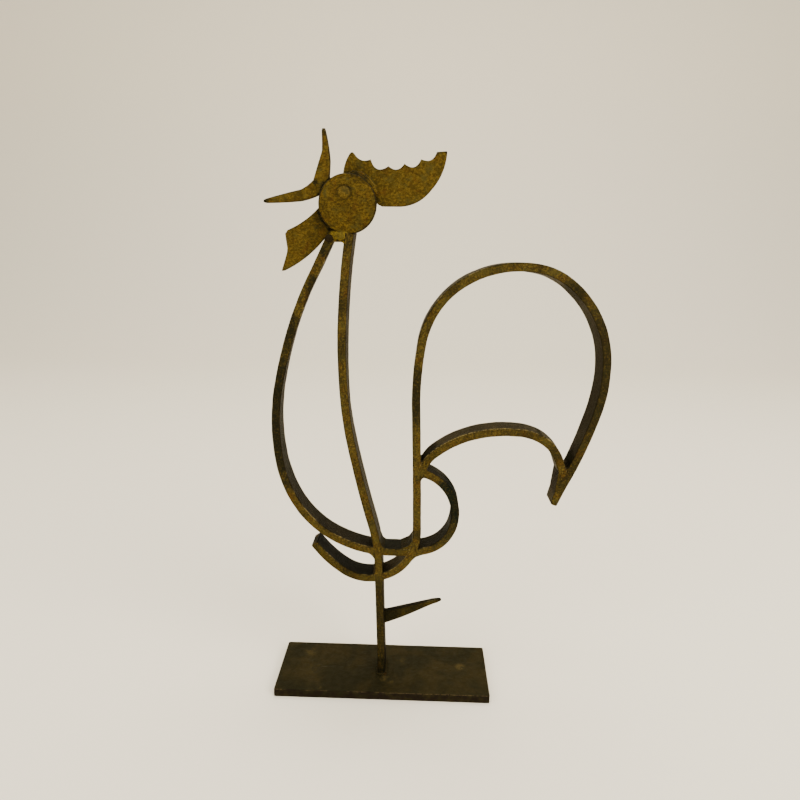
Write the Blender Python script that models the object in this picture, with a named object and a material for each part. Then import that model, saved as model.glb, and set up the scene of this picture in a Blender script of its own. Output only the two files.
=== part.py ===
"""Scrap metal rooster: flat steel bars on edge, bent into a bird and welded to a plate.

Metres, Z up. The origin is the middle of the plate's underside, -Y is the front,
and the head looks towards -X.
"""

import math

import bmesh
import bpy
import numpy as np

# Stock: the plate and the flat bar, and the clearance kept between pieces that touch
PLATE_WIDTH = 0.150
PLATE_DEPTH = 0.052
PLATE_THICKNESS = 0.006
PLATE_EDGE_ROUND = 0.0006
BAR_DEPTH = 0.015
BAR_THICKNESS = 0.005
CLEARANCE = 0.0003

# Head: a domed disc in front, and thinner plates lapped behind it
DISC_RADIUS = 0.0173
DISC_THICKNESS = 0.004
DISC_DOME = 0.0022
SHEET_THICKNESS = 0.004
SPUR_THICKNESS = 0.005
EYE_RADIUS = 0.0044
EYE_RECESS = 0.0014
EYE_DOME_RADIUS = 0.0027
EYE_DOME_RISE = 0.0016
EYE_RIM_RISE = 0.0007

# Welds: a bead laid along the corner where two pieces meet
BEAD_RADIUS = 0.003
NARROW_BEAD_RADIUS = 0.0045
BEAD_SIDES = 12

# The bird stands this high above its plate, and every pose value below is in
# hundredths of that height, measured from the middle of the plate's top
FIGURE_HEIGHT = 0.365
SHARE = FIGURE_HEIGHT / 100

# Each bar follows a chain of runs from its start: (length, turn in degrees), anticlockwise positive
NECK_START = (-0.27, 0.0)
NECK_HEADING = 91.6
NECK_RUNS = ((24.05, 0.0), (8.08, 14.1), (16.24, -4.7), (8.01, -6.3), (11.58, -6.1), (17.95, -8.0))
BREAST_START = (-8.90, 83.29)
BREAST_HEADING = -114.2
BREAST_RUNS = ((6.65, -3.4), (10.0, 9.0), (9.66, 6.5), (14.78, 20.7), (8.51, 21.6), (10.5, 32.7), (7.66, 20.4))
BELLY_RUNS = ((2.19, 5.9), (4.2, 3.4))
THIGH_START = (-12.88, 28.05)
THIGH_HEADING = -55.4
THIGH_RUNS = ((7.69, 20.3), (6.48, 45.5), (0.6, 3.9))
TAIL_RUNS = ((5.2, 33.8), (3.51, 20.6), (3.78, 22.3), (23.34, 0.9), (12.03, -11.3), (13.97, -53.1),
             (11.2, -36.4), (6.11, -28.5), (14.94, -47.4), (9.7, -20.1), (12.9, -9.35), (5.3, 4.2))
CURL_START = (5.12, 26.1)
CURL_HEADING = 31.8
CURL_RUNS = ((2.64, -18.6), (6.28, 51.9), (5.0, 33.6), (5.79, 40.4), (4.5, 33.0))
ARC_START = (6.74, 42.55)
ARC_HEADING = 79.0
ARC_RUNS = ((4.03, -38.3), (8.57, -26.5), (7.8, -19.7), (3.91, -23.5), (5.18, -40.2), (3.9, -1.7))
TURN_STEP = 5.0
RUN_STEP = 6.0

# Two bars are twisted a little, so that the back edge leans to the right of travel: (share of length, degrees)
LEANS = {
    "breast_bar": ((0.0, 7.0), (0.25, 6.5), (0.43, 4.5), (0.54, 3.5), (0.72, 1.0), (0.8, 0.0)),
    "tail_bar": ((0.5, 0.0), (0.56, 1.5), (0.665, 6.5), (0.72, 6.0), (0.78, 2.5), (0.86, 0.0)),
}

# Flat pieces: outline corners as (x, z, bulge of the edge to the next corner, left of travel positive)
DISC_CENTRE = (-6.22, 88.47)
EYE_CENTRE = (-6.66, 90.25)
COMB = ((-6.7, 91.0, 0), (-7.0, 93.2, 0), (-5.92, 96.2, 0.25), (-5.15, 96.2, -0.55), (-2.55, 95.4, -1.0),
        (0.33, 94.4, -0.7), (2.9, 94.8, -0.88), (5.56, 95.5, -0.74), (8.05, 96.55, 0), (9.6, 96.65, 0.55),
        (7.3, 90.8, 0.52), (2.25, 88.2, 0.05), (-0.7, 88.2, 0), (-1.35, 88.5, 0), (-2.8, 89.6, 0))
WATTLE = ((-9.3, 86.8, 0), (-11.1, 87.9, 0.34), (-16.4, 84.3, 0.08), (-16.7, 83.9, 0.69), (-17.65, 77.6, 0.06),
          (-17.1, 77.7, -0.44), (-10.45, 82.8, 0), (-10.0, 83.6, 0), (-8.5, 84.7, 0))
UPPER_BEAK = ((-10.25, 99.78, 0.27), (-9.7, 99.78, 0.1), (-9.04, 95.2, 0.03), (-9.2, 92.9, 0),
              (-9.0, 91.1, 0), (-10.2, 91.15, 0), (-11.75, 92.2, -0.16), (-10.38, 96.65, -0.03))
LOWER_BEAK = ((-19.95, 88.85, 0.12), (-19.9, 89.1, 0.04), (-13.97, 90.75, -0.11), (-11.95, 92.02, 0),
              (-10.4, 90.95, 0), (-9.2, 89.9, 0), (-9.3, 89.2, 0), (-11.07, 89.85, 0.1), (-14.03, 88.87, 0.07))
SPUR = ((-0.5, 13.35, 0), (0.9, 13.5, 0.0), (3.15, 13.85, -0.1), (8.93, 15.8, 0.05), (11.0, 15.95, 0.04),
        (11.15, 15.83, 0.0), (5.1, 12.5, -0.08), (1.2, 10.7, 0), (-0.5, 10.3, 0))
BULGE_POINTS = 5

# Throat weld: a lump between the neck, the breast bar's top and the disc
THROAT_CENTRE = (-7.75, 83.35)
THROAT_SIZE = (1.75, 1.25)

# Finishes: colour, roughness, metallic
GILT = ((0.155, 0.098, 0.012), 0.62, 0.35)
DARK_GILT = ((0.085, 0.058, 0.012), 0.66, 0.35)
BROWN_STEEL = ((0.060, 0.045, 0.024), 0.72, 0.30)

FRONT = -BAR_DEPTH / 2
DISC_BACK = FRONT + DISC_DOME + DISC_THICKNESS
SHEET_FRONT = DISC_BACK + CLEARANCE


def clear_scene():
    """Removes whatever the opened file holds."""
    for item in list(bpy.data.objects):
        bpy.data.objects.remove(item, do_unlink=True)


def place(x, z):
    """A point of the figure, given in hundredths of its height."""
    return np.array((x * SHARE, PLATE_THICKNESS + z * SHARE))


def chain(start, heading, runs):
    """Points and headings along arcs joined end to end, starting at a point in metres."""
    x, z = start
    angle = math.radians(heading)
    points = [(x, z)]
    headings = [angle]
    for length, turn in runs:
        length *= SHARE
        turn = math.radians(turn)
        count = max(1, math.ceil(abs(math.degrees(turn)) / TURN_STEP), math.ceil(length / SHARE / RUN_STEP))
        for _ in range(count):
            middle = angle + turn / count / 2
            half = turn / count / 2
            chord = length / count * (math.sin(half) / half if abs(half) > 1e-9 else 1.0)
            x += chord * math.cos(middle)
            z += chord * math.sin(middle)
            angle += turn / count
            points.append((x, z))
            headings.append(angle)
    return np.array(points), np.array(headings)


def side(path, sign, thickness=BAR_THICKNESS):
    """The edge line of a bar's face: +1 is left of travel, -1 is right."""
    points, headings = path
    normals = np.stack((-np.sin(headings), np.cos(headings)), -1)
    return points + sign * thickness / 2 * normals


def corner(line_a, line_b, near):
    """The point where two edge lines meet, the one nearest to a given point."""
    def dense(line):
        steps = np.linspace(0, 1, 24, endpoint=False)[:, None]
        return np.concatenate([a + (b - a) * steps for a, b in zip(line[:-1], line[1:])])

    a = dense(line_a)
    b = dense(line_b)
    a = a[np.hypot(*(a - near).T) < 4 * BAR_THICKNESS]
    b = b[np.hypot(*(b - near).T) < 4 * BAR_THICKNESS]
    gaps = np.hypot(*(a[:, None] - b[None]).transpose(2, 0, 1))
    i, j = np.unravel_index(np.argmin(gaps), gaps.shape)
    return (a[i] + b[j]) / 2


def paint(name, finish):
    """A painted metal for one piece."""
    colour, roughness, metallic = finish
    material = bpy.data.materials.new(name + "_finish")
    material.use_nodes = True
    shader = material.node_tree.nodes["Principled BSDF"]
    shader.inputs["Base Color"].default_value = (*colour, 1.0)
    shader.inputs["Roughness"].default_value = roughness
    shader.inputs["Metallic"].default_value = metallic
    material.diffuse_color = (*colour, 1.0)
    return material


def add_piece(name, mesh, finish):
    """Puts a mesh in the scene as a piece, or as a cutter when it has no finish."""
    piece = bpy.data.objects.new(name, mesh)
    bpy.context.collection.objects.link(piece)
    if finish is None:
        piece.hide_render = True
        piece.display_type = "WIRE"
    else:
        mesh.materials.append(paint(name, finish))
    return piece


def closed_mesh(name, shell):
    """Turns a bmesh into mesh data with its faces pointing out."""
    bmesh.ops.recalc_face_normals(shell, faces=shell.faces)
    mesh = bpy.data.meshes.new(name)
    shell.to_mesh(mesh)
    shell.free()
    return mesh


def loft(name, rings, finish):
    """Joins rings of points with faces and closes both ends."""
    shell = bmesh.new()
    rows = [[shell.verts.new(point) for point in ring] for ring in rings]
    for low, high in zip(rows[:-1], rows[1:]):
        for i in range(len(low)):
            k = (i + 1) % len(low)
            shell.faces.new((low[i], low[k], high[k], high[i]))
    shell.faces.new(rows[0])
    shell.faces.new(rows[-1])
    return add_piece(name, closed_mesh(name, shell), finish)


def bar(name, path, lean, finish, grow=0.0):
    """A flat bar on edge along a path. A grown copy is the cutter that keeps a clearance."""
    left = side(path, 1, BAR_THICKNESS + 2 * grow)
    right = side(path, -1, BAR_THICKNESS + 2 * grow)
    front = -BAR_DEPTH / 2 - 10 * grow
    back = BAR_DEPTH / 2 + 10 * grow
    headings = path[1]
    rings = []
    for (lx, lz), (rx, rz), angle, tilt in zip(left, right, headings, lean):
        ring = []
        for x, y, z in ((lx, front, lz), (rx, front, rz), (rx, back, rz), (lx, back, lz)):
            shift = (y - FRONT) * math.tan(tilt)
            ring.append((x + shift * math.sin(angle), y, z - shift * math.cos(angle)))
        rings.append(ring)
    piece = loft(name, rings, finish)
    smooth(piece, 30)
    return piece


def outline(corners):
    """An outline in metres whose edges bulge as arcs between the given corners."""
    points = []
    for (x, z, bulge), (x2, z2, _) in zip(corners, corners[1:] + corners[:1]):
        a = place(x, z)
        b = place(x2, z2)
        if not bulge:
            points.append(a)
            continue
        chord = np.hypot(*(b - a))
        sagitta = bulge * SHARE
        half_angle = 2 * math.atan2(2 * abs(sagitta), chord)
        radius = chord / 2 / math.sin(half_angle)
        left = np.array((-(b - a)[1], (b - a)[0])) / chord * math.copysign(1, bulge)
        centre = (a + b) / 2 + left * (abs(sagitta) - radius)
        along = (b - a) / chord
        for i in range(BULGE_POINTS):
            turn = half_angle * (2 * i / BULGE_POINTS - 1)
            points.append(centre + radius * (math.sin(turn) * along + math.cos(turn) * left))
    return points


def flat_piece(name, corners, front, thickness, finish):
    """A plate cut to an outline, upright and facing the front."""
    points = outline(corners)
    rings = [[(x, y, z) for x, z in points] for y in (front, front + thickness)]
    return loft(name, rings, finish)


def turned(name, centre, profile, finish, sides=48):
    """A round piece about an axis along Y: the profile is (radius, y), its first point on the axis."""
    shell = bmesh.new()
    first = shell.verts.new((centre[0], profile[0][1], centre[1]))
    rows = []
    for radius, y in profile[1:-1]:
        angles = [2 * math.pi * i / sides for i in range(sides)]
        rows.append([shell.verts.new((centre[0] + radius * math.cos(a), y, centre[1] + radius * math.sin(a)))
                     for a in angles])
    last = shell.verts.new((centre[0], profile[-1][1], centre[1]))
    for i in range(sides):
        k = (i + 1) % sides
        shell.faces.new((first, rows[0][i], rows[0][k]))
        shell.faces.new((last, rows[-1][k], rows[-1][i]))
        for low, high in zip(rows[:-1], rows[1:]):
            shell.faces.new((low[i], low[k], high[k], high[i]))
    piece = add_piece(name, closed_mesh(name, shell), finish)
    smooth(piece, 30)
    return piece


def cut(piece, *cutters):
    """Takes each cutter's shape off a piece."""
    for cutter in cutters:
        step = piece.modifiers.new("cut_" + cutter.name, "BOOLEAN")
        step.operation = "DIFFERENCE"
        step.solver = "EXACT"
        step.object = cutter


def smooth(piece, degrees):
    """Shades a round piece smooth, with its sharp edges kept."""
    piece.data.shade_smooth()
    piece.data.set_sharp_from_angle(angle=math.radians(degrees))


def bead(name, centre, full_radius, finish, *cutters):
    """A weld bead along Y at a corner, cut back to a clearance from what it joins."""
    stations = ((FRONT + 0.0002, 0.72), (FRONT + 0.0012, 1.0), (-FRONT - 0.0012, 1.0), (-FRONT - 0.0002, 0.72))
    rings = []
    for y, share in stations:
        radius = full_radius * share
        rings.append([(centre[0] + radius * math.cos(2 * math.pi * i / BEAD_SIDES), y,
                       centre[1] + radius * math.sin(2 * math.pi * i / BEAD_SIDES)) for i in range(BEAD_SIDES)])
    piece = loft(name, rings, finish)
    smooth(piece, 40)
    cut(piece, *cutters)
    return piece


def build_plate():
    """The base plate, its underside on the floor."""
    shell = bmesh.new()
    bmesh.ops.create_cube(shell, size=1.0)
    bmesh.ops.scale(shell, vec=(PLATE_WIDTH, PLATE_DEPTH, PLATE_THICKNESS), verts=shell.verts)
    bmesh.ops.translate(shell, vec=(0, 0, PLATE_THICKNESS / 2), verts=shell.verts)
    plate = add_piece("base_plate", closed_mesh("base_plate", shell), BROWN_STEEL)
    edge = plate.modifiers.new("worn_edges", "BEVEL")
    edge.width = PLATE_EDGE_ROUND
    edge.segments = 1


def bar_paths():
    """The centre line of every bar, by the bar's name."""
    paths = {}
    foot = place(*NECK_START) + (0, CLEARANCE)
    paths["neck_and_leg_bar"] = chain(foot, NECK_HEADING, NECK_RUNS)
    paths["breast_bar"] = chain(place(*BREAST_START), BREAST_HEADING, BREAST_RUNS)
    end, heading = paths["breast_bar"][0][-1], math.degrees(paths["breast_bar"][1][-1])
    paths["belly_link"] = chain(end, heading, BELLY_RUNS)
    paths["thigh_bar"] = chain(place(*THIGH_START), THIGH_HEADING, THIGH_RUNS)
    end, heading = paths["thigh_bar"][0][-1], math.degrees(paths["thigh_bar"][1][-1])
    paths["tail_bar"] = chain(end, heading, TAIL_RUNS)
    paths["rump_curl"] = chain(place(*CURL_START), CURL_HEADING, CURL_RUNS)
    paths["inner_tail_arc"] = chain(place(*ARC_START), ARC_HEADING, ARC_RUNS)
    return paths


def stretched(path, extra):
    """The same path, a little longer at both ends."""
    points, headings = path
    ways = np.stack((np.cos(headings), np.sin(headings)), -1)
    longer = points.copy()
    longer[0] -= extra * ways[0]
    longer[-1] += extra * ways[-1]
    return longer, headings


def lean_along(name, path):
    """How far a bar is twisted at each of its stations, in radians."""
    if name not in LEANS:
        return np.zeros(len(path[0]))
    steps = np.concatenate(((0,), np.cumsum(np.hypot(*np.diff(path[0], axis=0).T))))
    shares, degrees = zip(*LEANS[name])
    return np.radians(np.interp(steps / steps[-1], shares, degrees))


def build_bars(paths):
    """The bars, each cut back where it meets the bar that it is welded to."""
    finishes = {"breast_bar": DARK_GILT, "rump_curl": DARK_GILT}
    bars = {}
    space = {}
    for name, path in paths.items():
        lean = lean_along(name, path)
        bars[name] = bar(name, path, lean, finishes.get(name, GILT))
        space[name] = bar(name + "_clearance", stretched(path, 2 * CLEARANCE), lean, None, grow=CLEARANCE)
    leg = space["neck_and_leg_bar"]
    tail = space["tail_bar"]
    cut(bars["breast_bar"], leg)
    cut(bars["belly_link"], leg, tail)
    cut(bars["thigh_bar"], leg)
    cut(bars["tail_bar"], leg)
    cut(bars["rump_curl"], tail)
    cut(bars["inner_tail_arc"], tail, space["rump_curl"])
    return bars, space


def build_head(bars, space):
    """The disc, eye, comb, wattle and beaks, and the lap where the neck goes behind the disc."""
    centre = place(*DISC_CENTRE)
    rim = FRONT + DISC_DOME
    dome = [(0.0, FRONT)]
    for share in (0.25, 0.5, 0.7, 0.85, 0.95):
        dome.append((DISC_RADIUS * share, FRONT + DISC_DOME * 0.75 * share ** 2))
    profile = dome + [(DISC_RADIUS, rim), (DISC_RADIUS, DISC_BACK), (0.0, DISC_BACK)]
    disc = turned("head_disc", centre, profile, GILT)
    room = [(0.0, FRONT - BAR_DEPTH), (DISC_RADIUS + CLEARANCE, FRONT - BAR_DEPTH),
            (DISC_RADIUS + CLEARANCE, SHEET_FRONT), (0.0, SHEET_FRONT)]
    disc_space = turned("head_disc_clearance", centre, room, None)
    cut(bars["neck_and_leg_bar"], disc_space)

    eye_centre = place(*EYE_CENTRE)
    floor = FRONT + EYE_RECESS
    recess = [(0.0, FRONT - BAR_DEPTH), (EYE_RADIUS + CLEARANCE, FRONT - BAR_DEPTH),
              (EYE_RADIUS + CLEARANCE, floor), (0.0, floor)]
    cut(disc, turned("eye_recess", eye_centre, recess, None))
    seat = floor - CLEARANCE
    low = FRONT + 0.0006
    bulb = [(EYE_DOME_RADIUS * math.sin(a), low - EYE_DOME_RISE * math.cos(a))
            for a in (math.radians(d) for d in (0, 25, 50, 75, 90))]
    rim_ring = [(EYE_RADIUS * 0.72, low), (EYE_RADIUS * 0.86, low - EYE_RIM_RISE), (EYE_RADIUS, low - 0.0002)]
    turned("eye", eye_centre, bulb + rim_ring + [(EYE_RADIUS, seat), (0.0, seat)], DARK_GILT, sides=32)

    flat_piece("comb", COMB, SHEET_FRONT, SHEET_THICKNESS, GILT)
    wattle = flat_piece("wattle", WATTLE, SHEET_FRONT, SHEET_THICKNESS, GILT)
    cut(wattle, space["breast_bar"])
    flat_piece("upper_beak", UPPER_BEAK, SHEET_FRONT, SHEET_THICKNESS, GILT)
    flat_piece("lower_beak", LOWER_BEAK, SHEET_FRONT, SHEET_THICKNESS, GILT)
    return disc_space


def build_spur(space):
    """The pointed strip on the back of the leg."""
    spur = flat_piece("spur", SPUR, -SPUR_THICKNESS / 2, SPUR_THICKNESS, GILT)
    cut(spur, space["neck_and_leg_bar"])


def build_welds(paths, space, disc_space):
    """The weld beads, each at the corner of the two pieces that it joins."""
    leg = "neck_and_leg_bar"
    joints = (
        ("weld_breast_to_leg", "breast_bar", -1, leg, 1, (-1.9, 26.0)),
        ("weld_belly_to_leg", "belly_link", 1, leg, -1, (-0.6, 27.5)),
        ("weld_thigh_to_leg", "thigh_bar", 1, leg, 1, (-1.6, 21.7)),
        ("weld_haunch_to_leg", "tail_bar", -1, leg, -1, (-0.2, 20.5)),
        ("weld_belly_to_tail", "belly_link", 1, "tail_bar", 1, (4.5, 27.5)),
        ("weld_curl_to_tail", "rump_curl", -1, "tail_bar", -1, (5.7, 26.0)),
        ("weld_curl_to_post", "rump_curl", 1, "tail_bar", -1, (6.5, 41.7)),
        ("weld_arc_to_post", "inner_tail_arc", 1, "tail_bar", -1, (6.5, 44.5)),
        ("weld_arc_to_limb", "inner_tail_arc", 1, "tail_bar", -1, (32.3, 43.8)),
    )
    for name, first, first_side, second, second_side, near in joints:
        spot = corner(side(paths[first], first_side), side(paths[second], second_side), place(*near))
        radius = NARROW_BEAD_RADIUS if first == "inner_tail_arc" else BEAD_RADIUS
        bead(name, spot, radius, DARK_GILT, space[first], space[second])

    shell = bmesh.new()
    bmesh.ops.create_cube(shell, size=1.0)
    bmesh.ops.scale(shell, vec=(PLATE_WIDTH, PLATE_DEPTH, PLATE_THICKNESS), verts=shell.verts)
    bmesh.ops.translate(shell, vec=(0, 0, PLATE_THICKNESS / 2 + CLEARANCE), verts=shell.verts)
    plate_space = add_piece("base_plate_clearance", closed_mesh("base_plate_clearance", shell), None)
    for name, sign in (("weld_foot_left", 1), ("weld_foot_right", -1)):
        spot = side(paths[leg], sign)[0]
        bead(name, spot, BEAD_RADIUS, DARK_GILT, space[leg], plate_space)

    centre = place(*THROAT_CENTRE)
    half_x, half_z = (size * SHARE for size in THROAT_SIZE)
    rings = []
    for step in range(7):
        lift = math.radians(-75 + 25 * step)
        rings.append([(centre[0] + half_x * math.cos(lift) ** 0.5 * math.cos(2 * math.pi * i / 16),
                       BAR_DEPTH / 2 * math.sin(lift) / math.sin(math.radians(75)),
                       centre[1] + half_z * math.cos(lift) ** 0.5 * math.sin(2 * math.pi * i / 16))
                      for i in range(16)])
    throat = loft("throat_weld", rings, GILT)
    cut(throat, space[leg], space["breast_bar"], disc_space)


def main():
    """Builds the rooster."""
    clear_scene()
    build_plate()
    paths = bar_paths()
    bars, space = build_bars(paths)
    disc_space = build_head(bars, space)
    build_spur(space)
    build_welds(paths, space, disc_space)


main()
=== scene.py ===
"""Looks of the scrap metal rooster: finer bars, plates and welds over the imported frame.

Metres, Z up, the front towards -Y, the head towards -X. Every piece is a surface
worked out on a grid: a rounded section carried along a line, a turned profile or a ball.
"""

from __future__ import annotations

import logging
import math
from abc import ABC, abstractmethod
from dataclasses import dataclass, field
from enum import Enum
from functools import lru_cache
from typing import Any

import bpy
import numpy as np
from mathutils import Matrix, Vector
from numpy.typing import NDArray

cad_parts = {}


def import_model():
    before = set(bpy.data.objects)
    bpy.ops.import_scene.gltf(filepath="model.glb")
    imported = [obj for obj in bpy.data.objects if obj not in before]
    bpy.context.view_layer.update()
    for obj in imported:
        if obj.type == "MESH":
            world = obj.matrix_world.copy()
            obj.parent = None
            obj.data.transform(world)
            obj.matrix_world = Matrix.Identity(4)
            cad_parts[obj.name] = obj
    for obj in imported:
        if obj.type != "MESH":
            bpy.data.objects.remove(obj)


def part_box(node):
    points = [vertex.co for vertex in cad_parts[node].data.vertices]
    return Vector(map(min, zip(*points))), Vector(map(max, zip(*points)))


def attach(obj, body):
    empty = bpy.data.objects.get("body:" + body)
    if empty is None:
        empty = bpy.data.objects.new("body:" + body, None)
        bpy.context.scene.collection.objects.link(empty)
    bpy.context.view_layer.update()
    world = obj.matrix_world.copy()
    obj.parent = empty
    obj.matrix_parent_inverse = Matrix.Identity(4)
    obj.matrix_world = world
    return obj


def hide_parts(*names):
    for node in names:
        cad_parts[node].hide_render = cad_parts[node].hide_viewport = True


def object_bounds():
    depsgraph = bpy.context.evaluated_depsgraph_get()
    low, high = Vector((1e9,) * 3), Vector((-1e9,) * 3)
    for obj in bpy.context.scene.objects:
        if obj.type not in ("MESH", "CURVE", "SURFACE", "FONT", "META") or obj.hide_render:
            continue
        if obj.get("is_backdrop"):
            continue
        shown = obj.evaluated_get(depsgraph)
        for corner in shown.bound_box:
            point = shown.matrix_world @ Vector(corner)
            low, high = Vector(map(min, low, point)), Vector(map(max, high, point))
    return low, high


Array = NDArray[np.float64]
Ints = NDArray[np.int64]
Pair = tuple[float, float]
Pairs = tuple[Pair, ...]
Corners = tuple[tuple[float, float, float], ...]
Colour = tuple[float, float, float]
# What a node's input takes: the output socket of another node, or a plain value
Socket = Any

LOG = logging.getLogger("rooster")
BODY = "root"

# The bird's height over its plate. Pose values are in hundredths of it, from the
# middle of the plate's top.
FIGURE_HEIGHT = 0.365
SHARE = FIGURE_HEIGHT / 100

# Width of the band along an edge that the paint darkens and lays a pale line on, partly
# wear and partly painted highlight, and how much of both the side away from the light gets
EDGE_BAND = 0.0006
FAR_SIDE_EDGE = 0.35

# How far a section's samples crowd towards its corners, as a share of its side
CROWDING = 0.13

# How squarely the middle of a bar's end faces front, between 0 and 1
END_FLAT = 0.3

# Sway of a stain's rim, against the width of its soft part
RAGGEDNESS = 1.6

# Distance between the two stations where a bar steps back behind the piece over it
LAP_STEP = 0.00008


class Slot(Enum):
    """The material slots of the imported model."""

    BASE = "base_steel"
    BAR = "bar_gilt"
    DARK_BAR = "bar_dark_gilt"
    HEAD = "head_gilt"
    EYE = "eye_gilt"
    WELD = "weld_gilt"


class End(Enum):
    """How a bar ends: sunk in the piece that it is welded to, or free and rounded."""

    SUNK = "sunk"
    FREE = "free"


@dataclass(frozen=True)
class Surface:
    """A closed surface: points, its four- and three-sided faces, and two masks over the points."""

    points: Array
    quads: Ints
    triangles: Ints
    flat: Array
    edge: Array


@dataclass(frozen=True)
class Line:
    """A line in the XZ plane: its points, and the angle that it heads in at each."""

    points: Array
    headings: Array

    def lengths(self) -> Array:
        """Distance along the line at each point."""
        return distances(self.points)

    def normals(self) -> Array:
        """Unit vectors to the left of travel."""
        return np.stack((-np.sin(self.headings), np.cos(self.headings)), -1)

    def ways(self) -> Array:
        """Unit vectors along the travel."""
        return np.stack((np.cos(self.headings), np.sin(self.headings)), -1)


def wander(points: Array, wavelength: float, seed: int, waves: int = 7) -> Array:
    """Smooth noise between about -1 and 1.

    Formula: the mean of sines of the dot product of the point with directions
    spread over the sphere, each with its own phase and pace, times 1.6.

    Args:
        points: Places, one row each.
        wavelength: Length of a wave in metres.
        seed: Chooses the directions and phases.
        waves: Number of sines.

    Returns:
        One value for each row.
    """
    chance = np.random.default_rng(seed)
    ways = chance.normal(size=(waves, 3))
    ways /= np.linalg.norm(ways, axis=1)[:, None]
    pace = 2 * np.pi / wavelength * chance.uniform(0.7, 1.4, waves)
    phases = chance.uniform(0, 2 * np.pi, waves)
    return 1.6 * np.sin(points @ (ways * pace[:, None]).T + phases).mean(axis=-1)


def uneven(points: Array, waves: Pairs, seed: int) -> Array:
    """The unevenness of worked metal: smooth noises of several sizes, one on another.

    Formula: the sum over the waves of the height times wander, each with the next seed.

    Args:
        points: Places, one row each.
        waves: Height and length of each size of wave, in metres.
        seed: The first noise's seed.

    Returns:
        One value for each row.
    """
    return np.sum([height * wander(points, length, seed + i) for i, (height, length) in enumerate(waves)], axis=0)


def arc_chain(start: Array, heading: float, runs: Pairs, step: float = 0.0012) -> Line:
    """Arcs joined end to end.

    Formula: the heading grows evenly along each run, and each point lies one chord,
    at the middle heading, from the point before it.

    Args:
        start: First point, in metres.
        heading: First heading, in degrees.
        runs: Length in hundredths of the height, and turn in degrees, of each arc.
        step: Greatest distance between points.

    Returns:
        The line.
    """
    headings = [np.array((math.radians(heading),))]
    chords = []
    for length, turn in runs:
        count = max(2, math.ceil(length * SHARE / step))
        shares = np.arange(1, count + 1) / count
        headings.append(headings[-1][-1] + math.radians(turn) * shares)
        chords.append(np.full(count, length * SHARE / count))
    angle = np.concatenate(headings)
    chord = np.concatenate(chords)
    middle = (angle[1:] + angle[:-1]) / 2
    moves = chord[:, None] * np.stack((np.cos(middle), np.sin(middle)), -1)
    points = np.concatenate((start[None], start + np.cumsum(moves, axis=0)))
    return Line(points, angle)


def bulged(corners: Corners, step: float = 0.0004) -> Array:
    """An open line through corners, whose edges bulge as arcs.

    Formula: each edge is the parabola with the given rise over its chord, which is
    an arc to within its own thickness for the shallow edges here.

    Args:
        corners: x, z and the bulge to the next corner, in hundredths of the height. A
            bulge to the left of travel is positive.
        step: Greatest distance between points.

    Returns:
        Points of the line in metres, one row each.
    """
    parts = []
    for (x, z, bulge), (x2, z2, _) in zip(corners[:-1], corners[1:]):
        a = Part.place(x, z)
        b = Part.place(x2, z2)
        chord = b - a
        length = float(np.hypot(*chord))
        left = np.array((-chord[1], chord[0])) / length
        count = max(2, math.ceil(length / step))
        shares = np.arange(count) / count
        rise = 4 * shares * (1 - shares) * bulge * SHARE
        parts.append(a + shares[:, None] * chord + rise[:, None] * left)
    parts.append(b[None])
    return np.concatenate(parts)


def distances(points: Array) -> Array:
    """Distance along a row of points at each of them."""
    return np.concatenate(((0.0,), np.cumsum(np.hypot(*np.diff(points, axis=0).T))))


def spaced(line: Array, shares: Array) -> Array:
    """Finds points of a line by shares of its length.

    Formula: each coordinate is interpolated evenly over the distance along the line.

    Args:
        line: Points, one row each.
        shares: Shares of the line's length, between 0 and 1.

    Returns:
        One point for each share.
    """
    along = distances(line)
    return np.stack([np.interp(shares, along / along[-1], line[:, i]) for i in range(2)], -1)


@dataclass(frozen=True)
class Section:
    """A rounded rectangle as shares: where each sample's corner centre is, and the way it faces."""

    corner: Array
    facing: Array

    @classmethod
    def rounded(cls, across: int, deep: int, turn: int) -> Section:
        """Samples a rounded rectangle anticlockwise, seen with the first axis right and the second up.

        Formula: a quarter round at each corner, and between them samples that crowd
        towards the corners by a sine of the share of the side.

        Args:
            across: Samples along each side on the first axis.
            deep: Samples along each side on the second axis.
            turn: Samples round each corner.

        Returns:
            The section.
        """
        corner = []
        facing = []
        bends = ((1, 1, 0.0), (-1, 1, 90.0), (-1, -1, 180.0), (1, -1, 270.0))
        for index, (x, y, first) in enumerate(bends):
            angle = np.radians(first + np.linspace(0, 90, turn))
            corner.append(np.tile((x, y), (turn, 1)).astype(float))
            facing.append(np.stack((np.cos(angle), np.sin(angle)), -1))
            x2, y2, _ = bends[(index + 1) % 4]
            count = across if y == y2 else deep
            shares = (np.arange(count) + 1)[:, None] / (count + 1)
            shares = shares - CROWDING * np.sin(2 * np.pi * shares)
            corner.append((1 - shares) * (x, y) + shares * (x2, y2))
            facing.append(np.tile(facing[-1][-1], (count, 1)))
        return cls(np.concatenate(corner), np.concatenate(facing))

    def flat(self) -> Array:
        """How squarely each sample faces along the second axis."""
        return self.facing[:, 1] ** 2


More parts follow.
